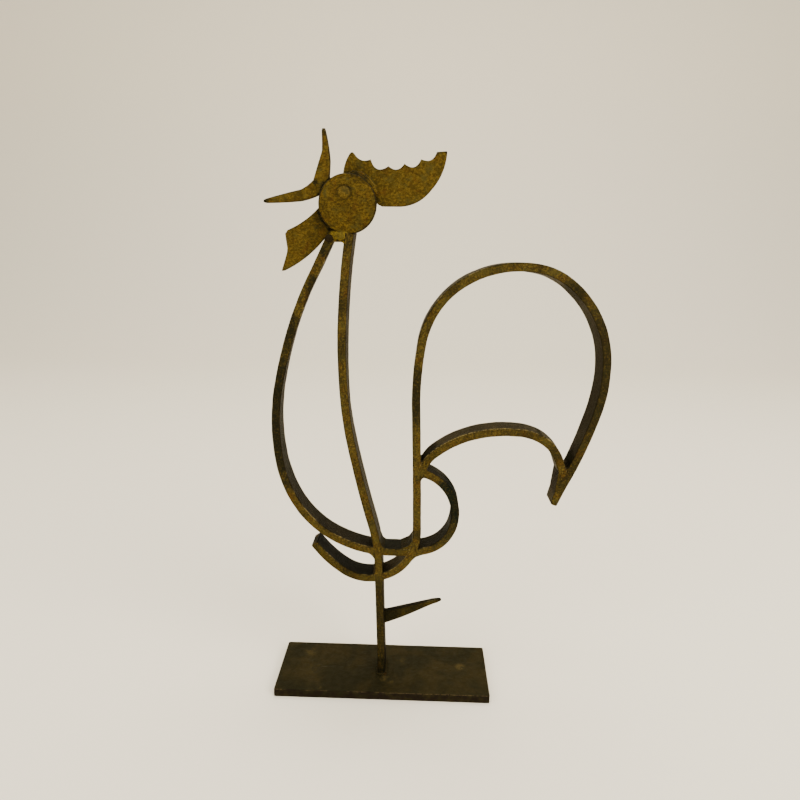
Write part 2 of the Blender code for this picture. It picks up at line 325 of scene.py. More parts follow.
def carry(section: Section, centres: Array, first: Array, second: Array,
          half_first: Array, half_second: Array, rounding: Array) -> Surface:
    """Carries a rounded section along a line of centres and closes both ends.

    Formula: point = centre + first axis times (corner share times (half width minus
    rounding) + facing times rounding) + the same along the second axis. The edge mask
    falls off as a bell over the distance from the nearest edge.

    Args:
        section: The rounded section.
        centres: Centre of each station.
        first: Unit vector of the section's first axis at each station.
        second: The same for its second axis.
        half_first: Half width along the first axis.
        half_second: Half width along the second axis.
        rounding: Radius of the section's corners.

    Returns:
        The closed surface, with a fan at each end.
    """
    along_first, along_second = (
        section.corner[None, :, i] * (half - rounding)[:, None] + section.facing[None, :, i] * rounding[:, None]
        for i, half in enumerate((half_first, half_second)))
    body = centres[:, None] + first[:, None] * along_first[..., None] + second[:, None] * along_second[..., None]
    gap = np.maximum(half_first[:, None] - np.abs(along_first), half_second[:, None] - np.abs(along_second))
    edge_share = np.where(along_first > 0, 1.0, FAR_SIDE_EDGE)
    flat = np.tile(section.flat(), (len(centres), 1))
    return close_tube(body, flat, edge_share * np.exp(-(gap / EDGE_BAND) ** 2))


def close_tube(body: Array, flat: Array, edge: Array, looped: bool = False) -> Surface:
    """Joins rings into a tube, and closes its ends with fans unless it is looped.

    Args:
        body: Points as (station, sample, 3).
        flat: Mask of the samples that face front or back.
        edge: Mask of the samples near an edge.
        looped: True where the last ring joins the first.

    Returns:
        The surface.
    """
    stations, samples = body.shape[:2]
    index = np.arange(stations * samples).reshape(stations, samples)
    low = index if looped else index[:-1]
    high = np.roll(index, -1, axis=0) if looped else index[1:]
    quads = np.stack((low, np.roll(low, -1, axis=1), np.roll(high, -1, axis=1), high), -1).reshape(-1, 4)
    points = body.reshape(-1, 3)
    if looped:
        return Surface(points, quads, np.zeros((0, 3), int), flat.ravel(), edge.ravel())
    ends = np.stack((body[0].mean(axis=0), body[-1].mean(axis=0)))
    first = np.full(samples, len(points))
    last = first + 1
    fans = (np.stack((first, np.roll(index[0], -1), index[0]), -1),
            np.stack((last, index[-1], np.roll(index[-1], -1)), -1))
    return Surface(np.concatenate((points, ends)), quads, np.concatenate(fans),
                   np.append(flat.ravel(), (END_FLAT, END_FLAT)), np.append(edge.ravel(), (0.0, 0.0)))


def outward(surface: Surface) -> Surface:
    """Turns a closed surface's faces out.

    Formula: the sum over its triangles of the corners' triple product is six times the
    volume, and negative when the faces point in.

    Args:
        surface: The surface.

    Returns:
        The surface, its faces reversed if they pointed in.
    """
    quads = surface.quads
    halves = np.concatenate((quads[:, (0, 1, 2)], quads[:, (0, 2, 3)], surface.triangles))
    p = surface.points[halves] - surface.points.mean(axis=0)
    volume = np.einsum("ij,ij->i", p[:, 0], np.cross(p[:, 1], p[:, 2])).sum()
    if volume >= 0:
        return surface
    return Surface(surface.points, quads[:, ::-1], surface.triangles[:, ::-1], surface.flat, surface.edge)


def end_rounding(radius: float, count: int = 7) -> tuple[Array, Array]:
    """A quarter round over a bar's end.

    Formula: distance back from the tip = radius (1 - sin a), and inset = radius (1 - cos a),
    for a from 0 to a right angle.

    Args:
        radius: Radius of the quarter round.
        count: Number of stations.

    Returns:
        Distance back from the tip, and inset, at each station.
    """
    angle = np.linspace(0, np.pi / 2, count)
    return radius * (1 - np.sin(angle)), radius * (1 - np.cos(angle))


def rounded_in(gap: Array, radius: float) -> Array:
    """How far the same quarter round draws a piece in, by the distance from its end.

    Formula: radius (1 - root(1 - s squared)), where s falls evenly from 1 at the end to
    0 one radius away.

    Args:
        gap: Distance from the end at each station.
        radius: Radius of the quarter round.

    Returns:
        The inset at each station.
    """
    inside = np.clip(1 - gap / radius, 0, 1)
    return radius * (1 - np.sqrt(1 - inside ** 2))


class Bench:
    """Adds and wires the nodes of one material."""

    def __init__(self, name: str) -> None:
        """Starts a material with only its shader and output.

        Args:
            name: The material's name.
        """
        self.material = bpy.data.materials.new(name)
        self.material.use_nodes = True
        self.tree = self.material.node_tree
        self.shader = self.tree.nodes["Principled BSDF"]
        self.coordinates = self.tree.nodes.new("ShaderNodeTexCoord").outputs["Object"]

    def add(self, kind: str, inputs: dict[Any, Any] | None = None, **settings: Any) -> bpy.types.Node:
        """Adds a node.

        Args:
            kind: The node's type.
            inputs: Values or output sockets, by input name or number.
            settings: Attributes of the node.

        Returns:
            The node.
        """
        node = self.tree.nodes.new(kind)
        for key, value in settings.items():
            setattr(node, key, value)
        for key, value in (inputs or {}).items():
            if isinstance(value, bpy.types.NodeSocket):
                self.tree.links.new(value, node.inputs[key])
            else:
                node.inputs[key].default_value = value
        return node

    def noise(self, scale: float, detail: float, rough: float, warp: float = 0.0, vector: Socket = None) -> Socket:
        """A noise between 0 and 1, its waves 1 / scale metres long."""
        values = {"Vector": vector or self.coordinates, "Scale": scale, "Detail": detail,
                  "Roughness": rough, "Distortion": warp}
        return self.add("ShaderNodeTexNoise", values).outputs["Fac"]

    def ramp(self, value: Socket, low: float, high: float) -> Socket:
        """Stretches a value smoothly so that low gives 0 and high gives 1."""
        span = {"Value": value, "From Min": low, "From Max": high}
        return self.add("ShaderNodeMapRange", span, interpolation_type="SMOOTHSTEP").outputs["Result"]

    def between(self, value: Socket, span: Pair, results: Pair) -> Socket:
        """Maps a span of values evenly on a span of results."""
        ends = dict(zip(("From Min", "From Max", "To Min", "To Max"), (*span, *results)))
        return self.add("ShaderNodeMapRange", {"Value": value, **ends}).outputs["Result"]

    def math(self, operation: str, a: Socket, b: Socket, clamp: bool = False) -> Socket:
        """One sum of two values."""
        return self.add("ShaderNodeMath", {0: a, 1: b}, operation=operation, use_clamp=clamp).outputs[0]

    def times(self, a: Socket, b: Socket) -> Socket:
        """The product of two values."""
        return self.math("MULTIPLY", a, b)

    def plus(self, a: Socket, b: Socket, clamp: bool = False) -> Socket:
        """The sum of two values, kept between 0 and 1 where it is clamped."""
        return self.math("ADD", a, b, clamp)

    def most(self, a: Socket, b: Socket) -> Socket:
        """The greater of two values."""
        return self.math("MAXIMUM", a, b)

    def rest(self, share: Socket) -> Socket:
        """What a share leaves of one."""
        return self.math("SUBTRACT", 1.0, share)

    def scaled(self, factors: Colour) -> Socket:
        """The object's coordinates, each times its own factor."""
        return self.add("ShaderNodeVectorMath", {0: self.coordinates, 1: factors}, operation="MULTIPLY").outputs[0]

    def distance(self, a: Socket, b: Socket) -> Socket:
        """Distance between two places."""
        return self.add("ShaderNodeVectorMath", {0: a, 1: b}, operation="DISTANCE").outputs["Value"]

    def mix(self, share: Socket, low: Socket, high: Socket) -> Socket:
        """Mixes two colours.

        Args:
            share: How much of the second colour there is, 0 to 1.
            low: First colour, as a socket or three numbers.
            high: Second colour, likewise.

        Returns:
            The mixed colour's socket.
        """
        node = self.add("ShaderNodeMix", {"Factor": share}, data_type="RGBA")
        for socket, value in ((node.inputs[6], low), (node.inputs[7], high)):
            if isinstance(value, bpy.types.NodeSocket):
                self.tree.links.new(value, socket)
            else:
                socket.default_value = (*value, 1.0)
        return node.outputs[2]

    def mask(self, name: str) -> Socket:
        """A mask stored on the mesh."""
        return self.add("ShaderNodeAttribute", attribute_name=name).outputs["Fac"]

    def spot(self, stain_and_shade: StainAndShade, ragged: Socket) -> Socket:
        """A soft spot with a ragged rim about a line along Y.

        Formula: the strength times the smooth step of the distance from the line,
        swayed by the noise, from the radius in to the core.

        Args:
            stain_and_shade: Its place, size and strength.
            ragged: Noise that sways its rim.

        Returns:
            The spot's socket.
        """
        x, z = (float(value) for value in Part.place(stain_and_shade.x, stain_and_shade.z))
        radius = stain_and_shade.radius * SHARE
        gap = self.distance(self.scaled((1.0, 0.0, 1.0)), (x, 0.0, z))
        sway = self.times(self.math("SUBTRACT", ragged, 0.5), RAGGEDNESS * radius * (1 - stain_and_shade.core))
        return self.times(self.ramp(self.plus(gap, sway), radius, radius * stain_and_shade.core), stain_and_shade.strength)

    def finish(self, colour: Socket, rough: Socket, height: Socket, paint: GiltPaint | BasePaint) -> bpy.types.Material:
        """Wires the shader.

        Args:
            colour: Socket of the base colour.
            rough: Socket of the roughness.
            height: Socket of the relief, 0 to 1.
            paint: Its relief's depth, its sheen and how metallic it is.

        Returns:
            The material.
        """
        bump = self.add("ShaderNodeBump", {"Height": height, "Strength": 0.9, "Distance": paint.relief})
        self.tree.links.new(colour, self.shader.inputs["Base Color"])
        self.tree.links.new(rough, self.shader.inputs["Roughness"])
        self.tree.links.new(bump.outputs["Normal"], self.shader.inputs["Normal"])
        self.shader.inputs["Metallic"].default_value = paint.metallic
        self.shader.inputs["Specular IOR Level"].default_value = 0.2
        self.shader.inputs["Specular Tint"].default_value = (*paint.sheen, 1.0)
        return self.material


@dataclass(frozen=True)
class StainAndShade:
    """A darkened place on the paint, in hundredths of the height. Some are stains, and some are painted shade in
    crevices, corners and gaps.

    It is full over the core's share of its radius. Its strength counts by on_face on
    the front and back, and by on_sides on the sides.
    """

    x: float
    z: float
    radius: float
    strength: float
    core: float = 0.25
    on_face: float = 1.0
    on_sides: float = 1.0


@dataclass(frozen=True)
class Noises:
    """The noises that mix one piece's paint, from the finest to the broadest."""

    grain: Socket
    cloud: Socket
    mottle: Socket
    tint: Socket
    patch: Socket

    @classmethod
    def on(cls, bench: Bench, stroke: Colour) -> Noises:
        """Adds the noises to a material.

        Args:
            bench: The material's bench.
            stroke: Factors on the coordinates, below one along the brush's strokes.

        Returns:
            Their sockets. The mottle is the cloud and the grain together.
        """
        drawn = bench.scaled(stroke)
        cloud = bench.noise(820.0, 5.0, 0.66, 0.5, drawn)
        grain = bench.noise(1500.0, 4.0, 0.65, 0.0, drawn)
        mottle = bench.plus(bench.times(cloud, 0.60), bench.times(grain, 0.40))
        return cls(grain, cloud, mottle, bench.noise(150.0, 5.0, 0.65, 0.5), bench.noise(48.0, 6.0, 0.62, 0.7))


@dataclass(frozen=True)
class GiltPaint:
    """Ochre gilt paint dry-brushed over a dark coat: mottled on the faces, dark on the sides, darker at the edges, with
    a pale line there that is partly wear and partly painted highlight.
    """

    bright: Colour = (0.120, 0.081, 0.0150)
    middle: Colour = (0.027, 0.020, 0.0052)
    olive: Colour = (0.064, 0.053, 0.0120)
    rust: Colour = (0.080, 0.034, 0.0055)
    speck: Colour = (0.009, 0.007, 0.0030)
    patina_and_shade: Colour = (0.0105, 0.0110, 0.0052)
    flank: Colour = (0.0125, 0.0105, 0.0050)
    worn_highlight: Colour = (0.300, 0.225, 0.080)
    stroke: Colour = (1.0, 1.0, 1.0)
    olive_share: float = 0.65
    rust_share: float = 0.50
    patina_share: float = 0.55
    flank_share: float = 0.92
    edge_darkening: float = 0.80
    speck_share: float = 0.85
    pit_scale: float = 520.0
    wear_highlight: float = 0.50
    wear_highlight_reach: float = 0.48
    wear_highlight_fade: float = 0.07
    soak_and_shade: float = 0.9
    sheen: Colour = (0.54, 0.49, 0.31)
    metallic: float = 0.65
    relief: float = 0.00045

    def ground(self, bench: Bench, noises: Noises) -> Socket:
        """Mixes the clean paint: bright over middle, with olive and rusty clouds.

        Args:
            bench: The material's bench.
            noises: Its noises.

        Returns:
            The paint's colour.
        """
        colour = bench.mix(bench.ramp(noises.mottle, 0.43, 0.58), self.middle, self.bright)
        colour = bench.mix(bench.times(bench.ramp(noises.tint, 0.49, 0.36), self.olive_share), colour, self.olive)
        return bench.mix(bench.times(bench.ramp(noises.tint, 0.52, 0.68), self.rust_share), colour, self.rust)

    def dulled(self, bench: Bench, noises: Noises, colour: Socket, dull: Socket) -> Socket:
        """Lays patina over the paint, and the same dark colour over stains and painted shade, ragged at its rim and
        flecked with the bright paint.

        Args:
            bench: The material's bench.
            noises: Its noises.
            colour: Colour of the clean paint.
            dull: How dull the paint is, from patina, stains and painted shade, 0 to 1.

        Returns:
            The colour with its patina.
        """
        ragged = bench.times(dull, bench.ramp(bench.plus(noises.cloud, dull), 0.65, 1.45))
        flecked = bench.mix(bench.times(bench.ramp(noises.mottle, 0.49, 0.58), 0.60), self.patina_and_shade, self.bright)
        return bench.mix(bench.plus(ragged, bench.times(dull, 0.30), clamp=True), colour, flecked)

    def specks(self, bench: Bench, noises: Noises, dull: Socket) -> Socket:
        """Finds dark specks in the grain, more of them in the patina and the painted shade, and round pits in the rusty
        clouds.

        Args:
            bench: The material's bench.
            noises: Its noises.
            dull: How dull the paint is, 0 to 1.

        Returns:
            How strongly each place is a speck or a pit, 0 to 1.
        """
        dark = bench.ramp(bench.plus(noises.grain, bench.times(dull, 0.08)), 0.55, 0.63)
        pits = bench.add("ShaderNodeTexVoronoi", {"Vector": bench.coordinates, "Scale": self.pit_scale})
        dots = bench.ramp(pits.outputs["Distance"], 0.30, 0.14)
        return bench.most(bench.times(dots, bench.ramp(noises.tint, 0.50, 0.62)), dark)

    def sides(self, bench: Bench, noises: Noises, colour: Socket, soaked_and_shaded: Socket) -> Socket:
        """Lays the dark coat over the sides, darker in patches and where stains and painted shade lie.

        Args:
            bench: The material's bench.
            noises: Its noises.
            colour: Colour of the faces.
            soaked_and_shaded: How much stains and painted shade darken the sides, 0 to 1.

        Returns:
            The colour with its sides dark.
        """
        flank = bench.mix(bench.ramp(noises.patch, 0.35, 0.7), self.flank, tuple(0.5 * c for c in self.flank))
        flank = bench.mix(bench.times(bench.ramp(noises.mottle, 0.52, 0.64), 0.35), flank, self.middle)
        flank = bench.mix(soaked_and_shaded, flank, tuple(0.3 * c for c in self.patina_and_shade))
        side = bench.ramp(bench.rest(bench.mask("flat")), 0.25, 0.85)
        return bench.mix(bench.times(side, self.flank_share), colour, flank)

    def edges(self, bench: Bench, noises: Noises, colour: Socket, stained_and_shaded: Socket) -> Socket:
        """Darkens the edges, and lays a pale line along them that is partly wear and partly painted highlight.

        Args:
            bench: The material's bench.
            noises: Its noises.
            colour: Colour of the faces and sides.
            stained_and_shaded: How strongly the faces are stained and painted with shade, which hides the pale line.

        Returns:
            The colour with its edges.
        """
        edge = bench.mask("edge")
        # The paint is darker along the edges
        darkened_edge = bench.times(bench.ramp(edge, 0.06, 0.55), bench.ramp(noises.cloud, 0.74, 0.46))
        colour = bench.mix(bench.times(darkened_edge, self.edge_darkening), colour, self.speck)
        # The pale line along the edges: partly wear, partly painted highlight
        rubbed_highlight = bench.times(bench.ramp(edge, 0.36, 0.74), bench.ramp(noises.mottle, 0.44, 0.54))
        reach = bench.ramp(noises.patch, self.wear_highlight_reach + self.wear_highlight_fade, self.wear_highlight_reach - self.wear_highlight_fade)
        rubbed_highlight = bench.times(bench.times(rubbed_highlight, reach), bench.rest(stained_and_shaded))
        return bench.mix(bench.times(rubbed_highlight, self.wear_highlight), colour, self.worn_highlight)

    def material(self, name: str, stains_and_shades: tuple[StainAndShade, ...] = ()) -> bpy.types.Material:
        """Builds the paint.

        Args:
            name: The piece that it is for.
            stains_and_shades: Darkened places: stains, and painted shade in crevices, corners and gaps.

        Returns:
            The material.
        """
        bench = Bench(name + "_paint")
        noises = Noises.on(bench, self.stroke)
        stained_and_shaded: Socket = 0.0
        soaked_and_shaded: Socket = 0.0
        # Stains and painted shade: each darkens the faces by on_face and the sides by on_sides
        for stain_and_shade in stains_and_shades:
            spot = bench.spot(stain_and_shade, noises.tint)
            stained_and_shaded = bench.most(stained_and_shaded, bench.times(spot, stain_and_shade.on_face))
            soaked_and_shaded = bench.most(soaked_and_shaded, bench.times(spot, stain_and_shade.on_sides))
        soaked_and_shaded = bench.times(bench.math("POWER", soaked_and_shaded, 2.5), self.soak_and_shade)
        dull = bench.most(bench.times(bench.ramp(noises.patch, 0.44, 0.66), self.patina_share), stained_and_shaded)
        specks = self.specks(bench, noises, dull)
        colour = self.dulled(bench, noises, self.ground(bench, noises), dull)
        colour = bench.mix(bench.times(specks, self.speck_share), colour, self.speck)
        colour = self.sides(bench, noises, colour, soaked_and_shaded)
        colour = self.edges(bench, noises, colour, stained_and_shaded)
        rough = bench.between(noises.mottle, (0.35, 0.65), (0.62, 0.44))
        rough = bench.plus(rough, bench.times(soaked_and_shaded, 0.35), clamp=True)
        height = bench.math("SUBTRACT", noises.mottle, bench.times(specks, 0.35))
        return bench.finish(colour, rough, height, self)


@dataclass(frozen=True)
class BasePaint:
    """The base plate's dark olive-brown coat: patchy on top, rusty and chipped along its edges.

    Its ochre spots are places on X and Y, radii and strengths, in metres.
    """

    coat: Colour = (0.0105, 0.0096, 0.0028)
    patch: Colour = (0.0205, 0.0155, 0.0040)
    rust: Colour = (0.0080, 0.0050, 0.0028)
    speck: Colour = (0.008, 0.007, 0.003)
    chip: Colour = (0.125, 0.092, 0.043)
    chip_share: float = 0.55
    ochre: Colour = (0.110, 0.078, 0.0230)
    spots: tuple[tuple[float, float, float, float], ...] = (
        (0.0560, 0.0030, 0.0055, 0.45), (0.0130, 0.0075, 0.0060, 0.25), (0.0010, -0.0115, 0.0060, 0.40),
        (0.0060, -0.0150, 0.0040, 0.25), (-0.0560, 0.0150, 0.0070, 0.30), (-0.0500, -0.0040, 0.0080, 0.25),
        (-0.0440, -0.0225, 0.0028, 0.5))
    sheen: Colour = (0.60, 0.52, 0.36)
    metallic: float = 0.5
    relief: float = 0.0003

    def material(self, name: str) -> bpy.types.Material:
        """Builds the coat.

        Args:
            name: The piece that it is for.

        Returns:
            The material.
        """
        bench = Bench(name + "_coat")
        cloud = bench.noise(45.0, 6.0, 0.6, 0.5)
        grain = bench.noise(900.0, 4.0, 0.6)
        fine = bench.noise(260.0, 4.0, 0.6)
        colour = bench.mix(bench.ramp(cloud, 0.42, 0.66), self.coat, self.patch)
        level = bench.scaled((1.0, 1.0, 0.0))
        ragged = bench.ramp(fine, 0.40, 0.62)
        for x, y, radius, strength in self.spots:
            near = bench.ramp(bench.distance(level, (x, y, 0.0)), radius, radius * 0.2)
            colour = bench.mix(bench.times(bench.times(near, strength), ragged), colour, self.ochre)
        colour = bench.mix(bench.times(bench.ramp(grain, 0.52, 0.68), 0.5), colour, self.speck)
        side = bench.ramp(bench.rest(bench.mask("flat")), 0.3, 0.9)
        colour = bench.mix(bench.times(side, bench.ramp(fine, 0.35, 0.6)), colour, self.rust)
        chips = bench.times(bench.ramp(bench.mask("edge"), 0.60, 0.9), bench.ramp(cloud, 0.42, 0.56))
        chips = bench.times(chips, bench.ramp(grain, 0.40, 0.56))
        colour = bench.mix(bench.times(chips, self.chip_share), colour, self.chip)
        rough = bench.between(fine, (0.3, 0.7), (0.5, 0.72))
        height = bench.plus(bench.times(fine, 0.6), bench.times(grain, 0.4))
        return bench.finish(colour, rough, height, self)


# Finishes: gilt gone dark, gilt painted darker with shade for the bars low in the figure,
# gilt gone green, the head's gilt strokes, its disc, its eye painted brighter as a highlight, and the coats over the
# welds and the spur
GILT = GiltPaint()
DARK_GILT = GiltPaint(patina_share=0.8, wear_highlight=0.7, sheen=(0.40, 0.37, 0.25))
# A darker copy of the gilt, with darker, greener sides: painted shade for the bars and welds low in the figure
SHADED_GILT = GiltPaint(bright=(0.098, 0.068, 0.0130), flank=(0.0044, 0.0052, 0.0035), wear_highlight=0.6,
                        sheen=(0.21, 0.245, 0.175))
GREEN_GILT = GiltPaint(patina_and_shade=(0.0065, 0.0125, 0.0080), patina_share=0.8, wear_highlight=0.7, sheen=(0.38, 0.38, 0.27))
LEG_GILT = GiltPaint(wear_highlight=0.1, sheen=(0.44, 0.40, 0.27))
ARC_GILT = GiltPaint(wear_highlight=0.65, wear_highlight_reach=0.58)
HEAD_GILT = GiltPaint(bright=(0.127, 0.081, 0.0095), middle=(0.045, 0.029, 0.0040), stroke=(0.7, 1.0, 1.0),
                      patina_share=0.30, flank_share=0.75, speck_share=0.5, wear_highlight=0.30)
DISC_GILT = GiltPaint(bright=(0.124, 0.079, 0.0085), middle=(0.041, 0.026, 0.0038), stroke=(0.7, 1.0, 1.0),
                      patina_share=0.40, flank_share=0.8, speck_share=0.45, wear_highlight=0.25)
# The eye's gilt is brighter as a painted highlight on the bulb, and its dark band round the bulb is painted shade of a
# groove
EYE_LIT_GILT = GiltPaint(bright=(0.150, 0.098, 0.0150), middle=(0.066, 0.043, 0.0065), patina_and_shade=(0.022, 0.016, 0.007),
                     patina_share=0.1, edge_darkening=0.5, speck_share=0.3, wear_highlight=0.0)
WELD_GILT = GiltPaint(patina_share=0.45, flank_share=0.85, wear_highlight=0.2, sheen=(0.34, 0.31, 0.22))
THROAT_GILT = GiltPaint(bright=(0.200, 0.135, 0.0120), middle=(0.090, 0.060, 0.0060), patina_share=0.15,
                        flank_share=0.8, wear_highlight=0.2)
BUTTON_COAT = GiltPaint(bright=(0.022, 0.014, 0.0060), middle=(0.014, 0.009, 0.0040), olive=(0.016, 0.012, 0.005),
                        rust=(0.030, 0.016, 0.006), wear_highlight=0.0)
FOOT_COAT = GiltPaint(bright=(0.036, 0.027, 0.0070), middle=(0.018, 0.015, 0.0050), olive=(0.020, 0.017, 0.006),
                      patina_share=0.4, wear_highlight=0.0)
SPUR_COAT = GiltPaint(bright=(0.060, 0.040, 0.0065), middle=(0.022, 0.016, 0.0036), patina_share=0.7, wear_highlight=0.5,
                      sheen=(0.36, 0.33, 0.22))


@dataclass
class Part(ABC):
    """What every piece has: a name, the CAD nodes that it stands for, its slot, its paint, and its stains and painted
    shade.
    """

    name: str
    nodes: tuple[str, ...]
    slot: Slot
    paint: GiltPaint = field(default=GILT, kw_only=True)
    stains_and_shades: tuple[StainAndShade, ...] = field(default=(), kw_only=True)

    @staticmethod
    @lru_cache
    def limits() -> tuple[Array, Array]:
        """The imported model's box, which no piece reaches out of."""
        low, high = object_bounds()
        return np.array(low), np.array(high)

    @staticmethod
    def box_of(node: str) -> tuple[Array, Array]:
        """A node's box in the frame, as its low and high corners."""
        low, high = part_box(node)
        return np.array(low), np.array(high)

    @staticmethod
    def round_of(node: str) -> tuple[Array, float]:
        """A round node's centre on X and Z, and its radius."""
        low, high = Part.box_of(node)
        return (low[::2] + high[::2]) / 2, float(high[0] - low[0]) / 2

    @staticmethod
    def plate_top() -> float:
        """Height of the base plate's top, from the frame."""
        return float(Part.box_of("base_plate")[1][2])

    @staticmethod
    def bar_half() -> float:
        """Half the bars' depth, from the frame."""
        low, high = Part.box_of("belly_link")
        return float(high[1] - low[1]) / 2

    @staticmethod
    def sheet_middle() -> float:
        """Middle of the depth of the comb's sheet, from the frame."""
        low, high = Part.box_of("comb")
        return float(low[1] + high[1]) / 2

    @staticmethod
    def place(x: float, z: float) -> Array:
        """A point of the figure, from hundredths of its height."""
        return np.array((x * SHARE, Part.plate_top() + z * SHARE))

    @abstractmethod
    def surface(self) -> Surface:
        """The piece's closed surface, which each kind of piece works out in its own way."""

    def material(self) -> bpy.types.Material:
        """The paint, with the piece's own stains."""
        return self.paint.material(self.name, self.stains_and_shades)

    def mesh(self, surface: Surface) -> bpy.types.Object:
        """Makes the piece's object from its surface.

        Args:
            surface: The closed surface.

        Returns:
            The object, riding on the body and standing for its nodes.
        """
        data = bpy.data.meshes.new(self.name)
        loops = np.concatenate((surface.quads.ravel(), surface.triangles.ravel())).astype(np.int32)
        sizes = np.concatenate((np.full(len(surface.quads), 4), np.full(len(surface.triangles), 3)))
        starts = np.concatenate(((0,), np.cumsum(sizes)[:-1])).astype(np.int32)
        data.vertices.add(len(surface.points))
        data.vertices.foreach_set("co", np.clip(surface.points, *self.limits()).astype(np.float32).ravel())
        data.loops.add(len(loops))
        data.loops.foreach_set("vertex_index", loops)
        data.polygons.add(len(sizes))
        data.polygons.foreach_set("loop_start", starts)
        data.update(calc_edges=True)
        data.validate()
        for label, values in (("flat", surface.flat), ("edge", surface.edge)):
            mask = data.attributes.new(label, "FLOAT", "POINT")
            mask.data.foreach_set("value", values.astype(np.float32))
        data.shade_smooth()
        piece = bpy.data.objects.new(self.name, data)
        bpy.context.collection.objects.link(piece)
        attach(piece, BODY)
        if self.nodes:
            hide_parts(*self.nodes)
        LOG.info("%s: %d points, %d faces", self.name, len(surface.points), len(sizes))
        return piece

    def build(self) -> None:
        """Makes the piece's object and paints it."""
        piece = self.mesh(self.surface())
        piece.data.materials.append(self.material())


@dataclass
class BasePlate(Part):
    """The rectangular plate that the bird stands on."""

    edge_round: float = 0.00035
    corner_round: float = 0.0009
    step: float = 0.0009
    heart: float = 0.0008
    rings: int = 25
    side_rings: int = 5
    side_band: float = 0.001
    fringe_band: float = 0.0007
    dip: Pairs = ((0.00005, 0.02), (0.00003, 0.005))
    nick: Pairs = ((0.00004, 0.009), (0.00004, 0.003))
    coat: BasePaint = field(default_factory=BasePaint)

    def material(self) -> bpy.types.Material:
        """The plate's coat."""
        return self.coat.material(self.name)

    def outline_rings(self, half: Array) -> tuple[Array, Array]:
        """Where the rings of the plate lie.

        Formula: in even steps from the middle of the top to the edge, over a quarter
        round, down the side, then the same below the other way round.

        Args:
            half: Half the plate's length, depth and thickness.

        Returns:
            How far in from the sides, and down from the top, each ring lies.
        """
        thick = 2 * half[2]
        angle = np.linspace(0, np.pi / 2, 6)
        inset = np.concatenate((np.linspace(half[1] - self.heart, self.edge_round, self.rings + 1)[:-1],
                                self.edge_round * (1 - np.sin(angle))))
        drop = np.concatenate((np.zeros(self.rings), self.edge_round * (1 - np.cos(angle))))
        down = np.linspace(self.edge_round, thick - self.edge_round, self.side_rings + 2)[1:-1]
        return (np.concatenate((inset, np.zeros(self.side_rings), inset[::-1])),
                np.concatenate((drop, down, thick - drop[::-1])))

    def surface(self) -> Surface:
        """A rounded box.

        Formula: the outline is a rounded rectangle, and rings of it go from the middle of
        the top, out over a quarter round, down the side, round again and in to the
        middle of the underside. The top and sides wander a little inwards.

        Returns:
            The closed surface.
        """
        low, high = self.box_of("base_plate")
        half = (high - low) / 2
        centre = (high + low) / 2
        inset, drop = self.outline_rings(half)
        count = len(inset)
        section = Section.rounded(int(2 * half[0] / self.step), int(2 * half[1] / self.step), 6)
        sizes = np.maximum(half[:2, None] - inset, 0.0001)
        bend = np.minimum(self.corner_round, sizes.min(axis=0) * 0.98)
        centres = np.stack((np.full(count, centre[0]), np.full(count, centre[1]), high[2] - drop), -1)
        first = np.tile((1.0, 0.0, 0.0), (count, 1))
        second = np.tile((0.0, -1.0, 0.0), (count, 1))
        made = carry(section, centres, first, second, *sizes, bend)
        points = made.points
        rise = (points[:, 2] - low[2]) / (2 * half[2])
        sides = np.clip(1 - (half[:2] - np.abs(points[:, :2])).min(axis=1) / self.side_band, 0, 1)
        dip = sum(height for height, _ in self.dip) + uneven(points, self.dip, seed=3)
        points[:, 2] -= dip * np.clip(rise, 0, 1) * (rise > 0.6)
        nick = sum(height for height, _ in self.nick) + uneven(points, self.nick, seed=5)
        ways = np.sign(points[:, :2]) * (np.abs(points[:, :2]) > half[:2] - self.side_band)
        points[:, :2] -= np.maximum(nick * sides, 0.0)[:, None] * ways
        rim = (half[:2] - np.abs(points[:, :2])).min(axis=1)
        fringe = np.exp(-(rim / self.fringe_band) ** 2 - ((high[2] - points[:, 2]) / self.fringe_band) ** 2)
        return Surface(points, made.quads, made.triangles, 1 - sides, fringe)


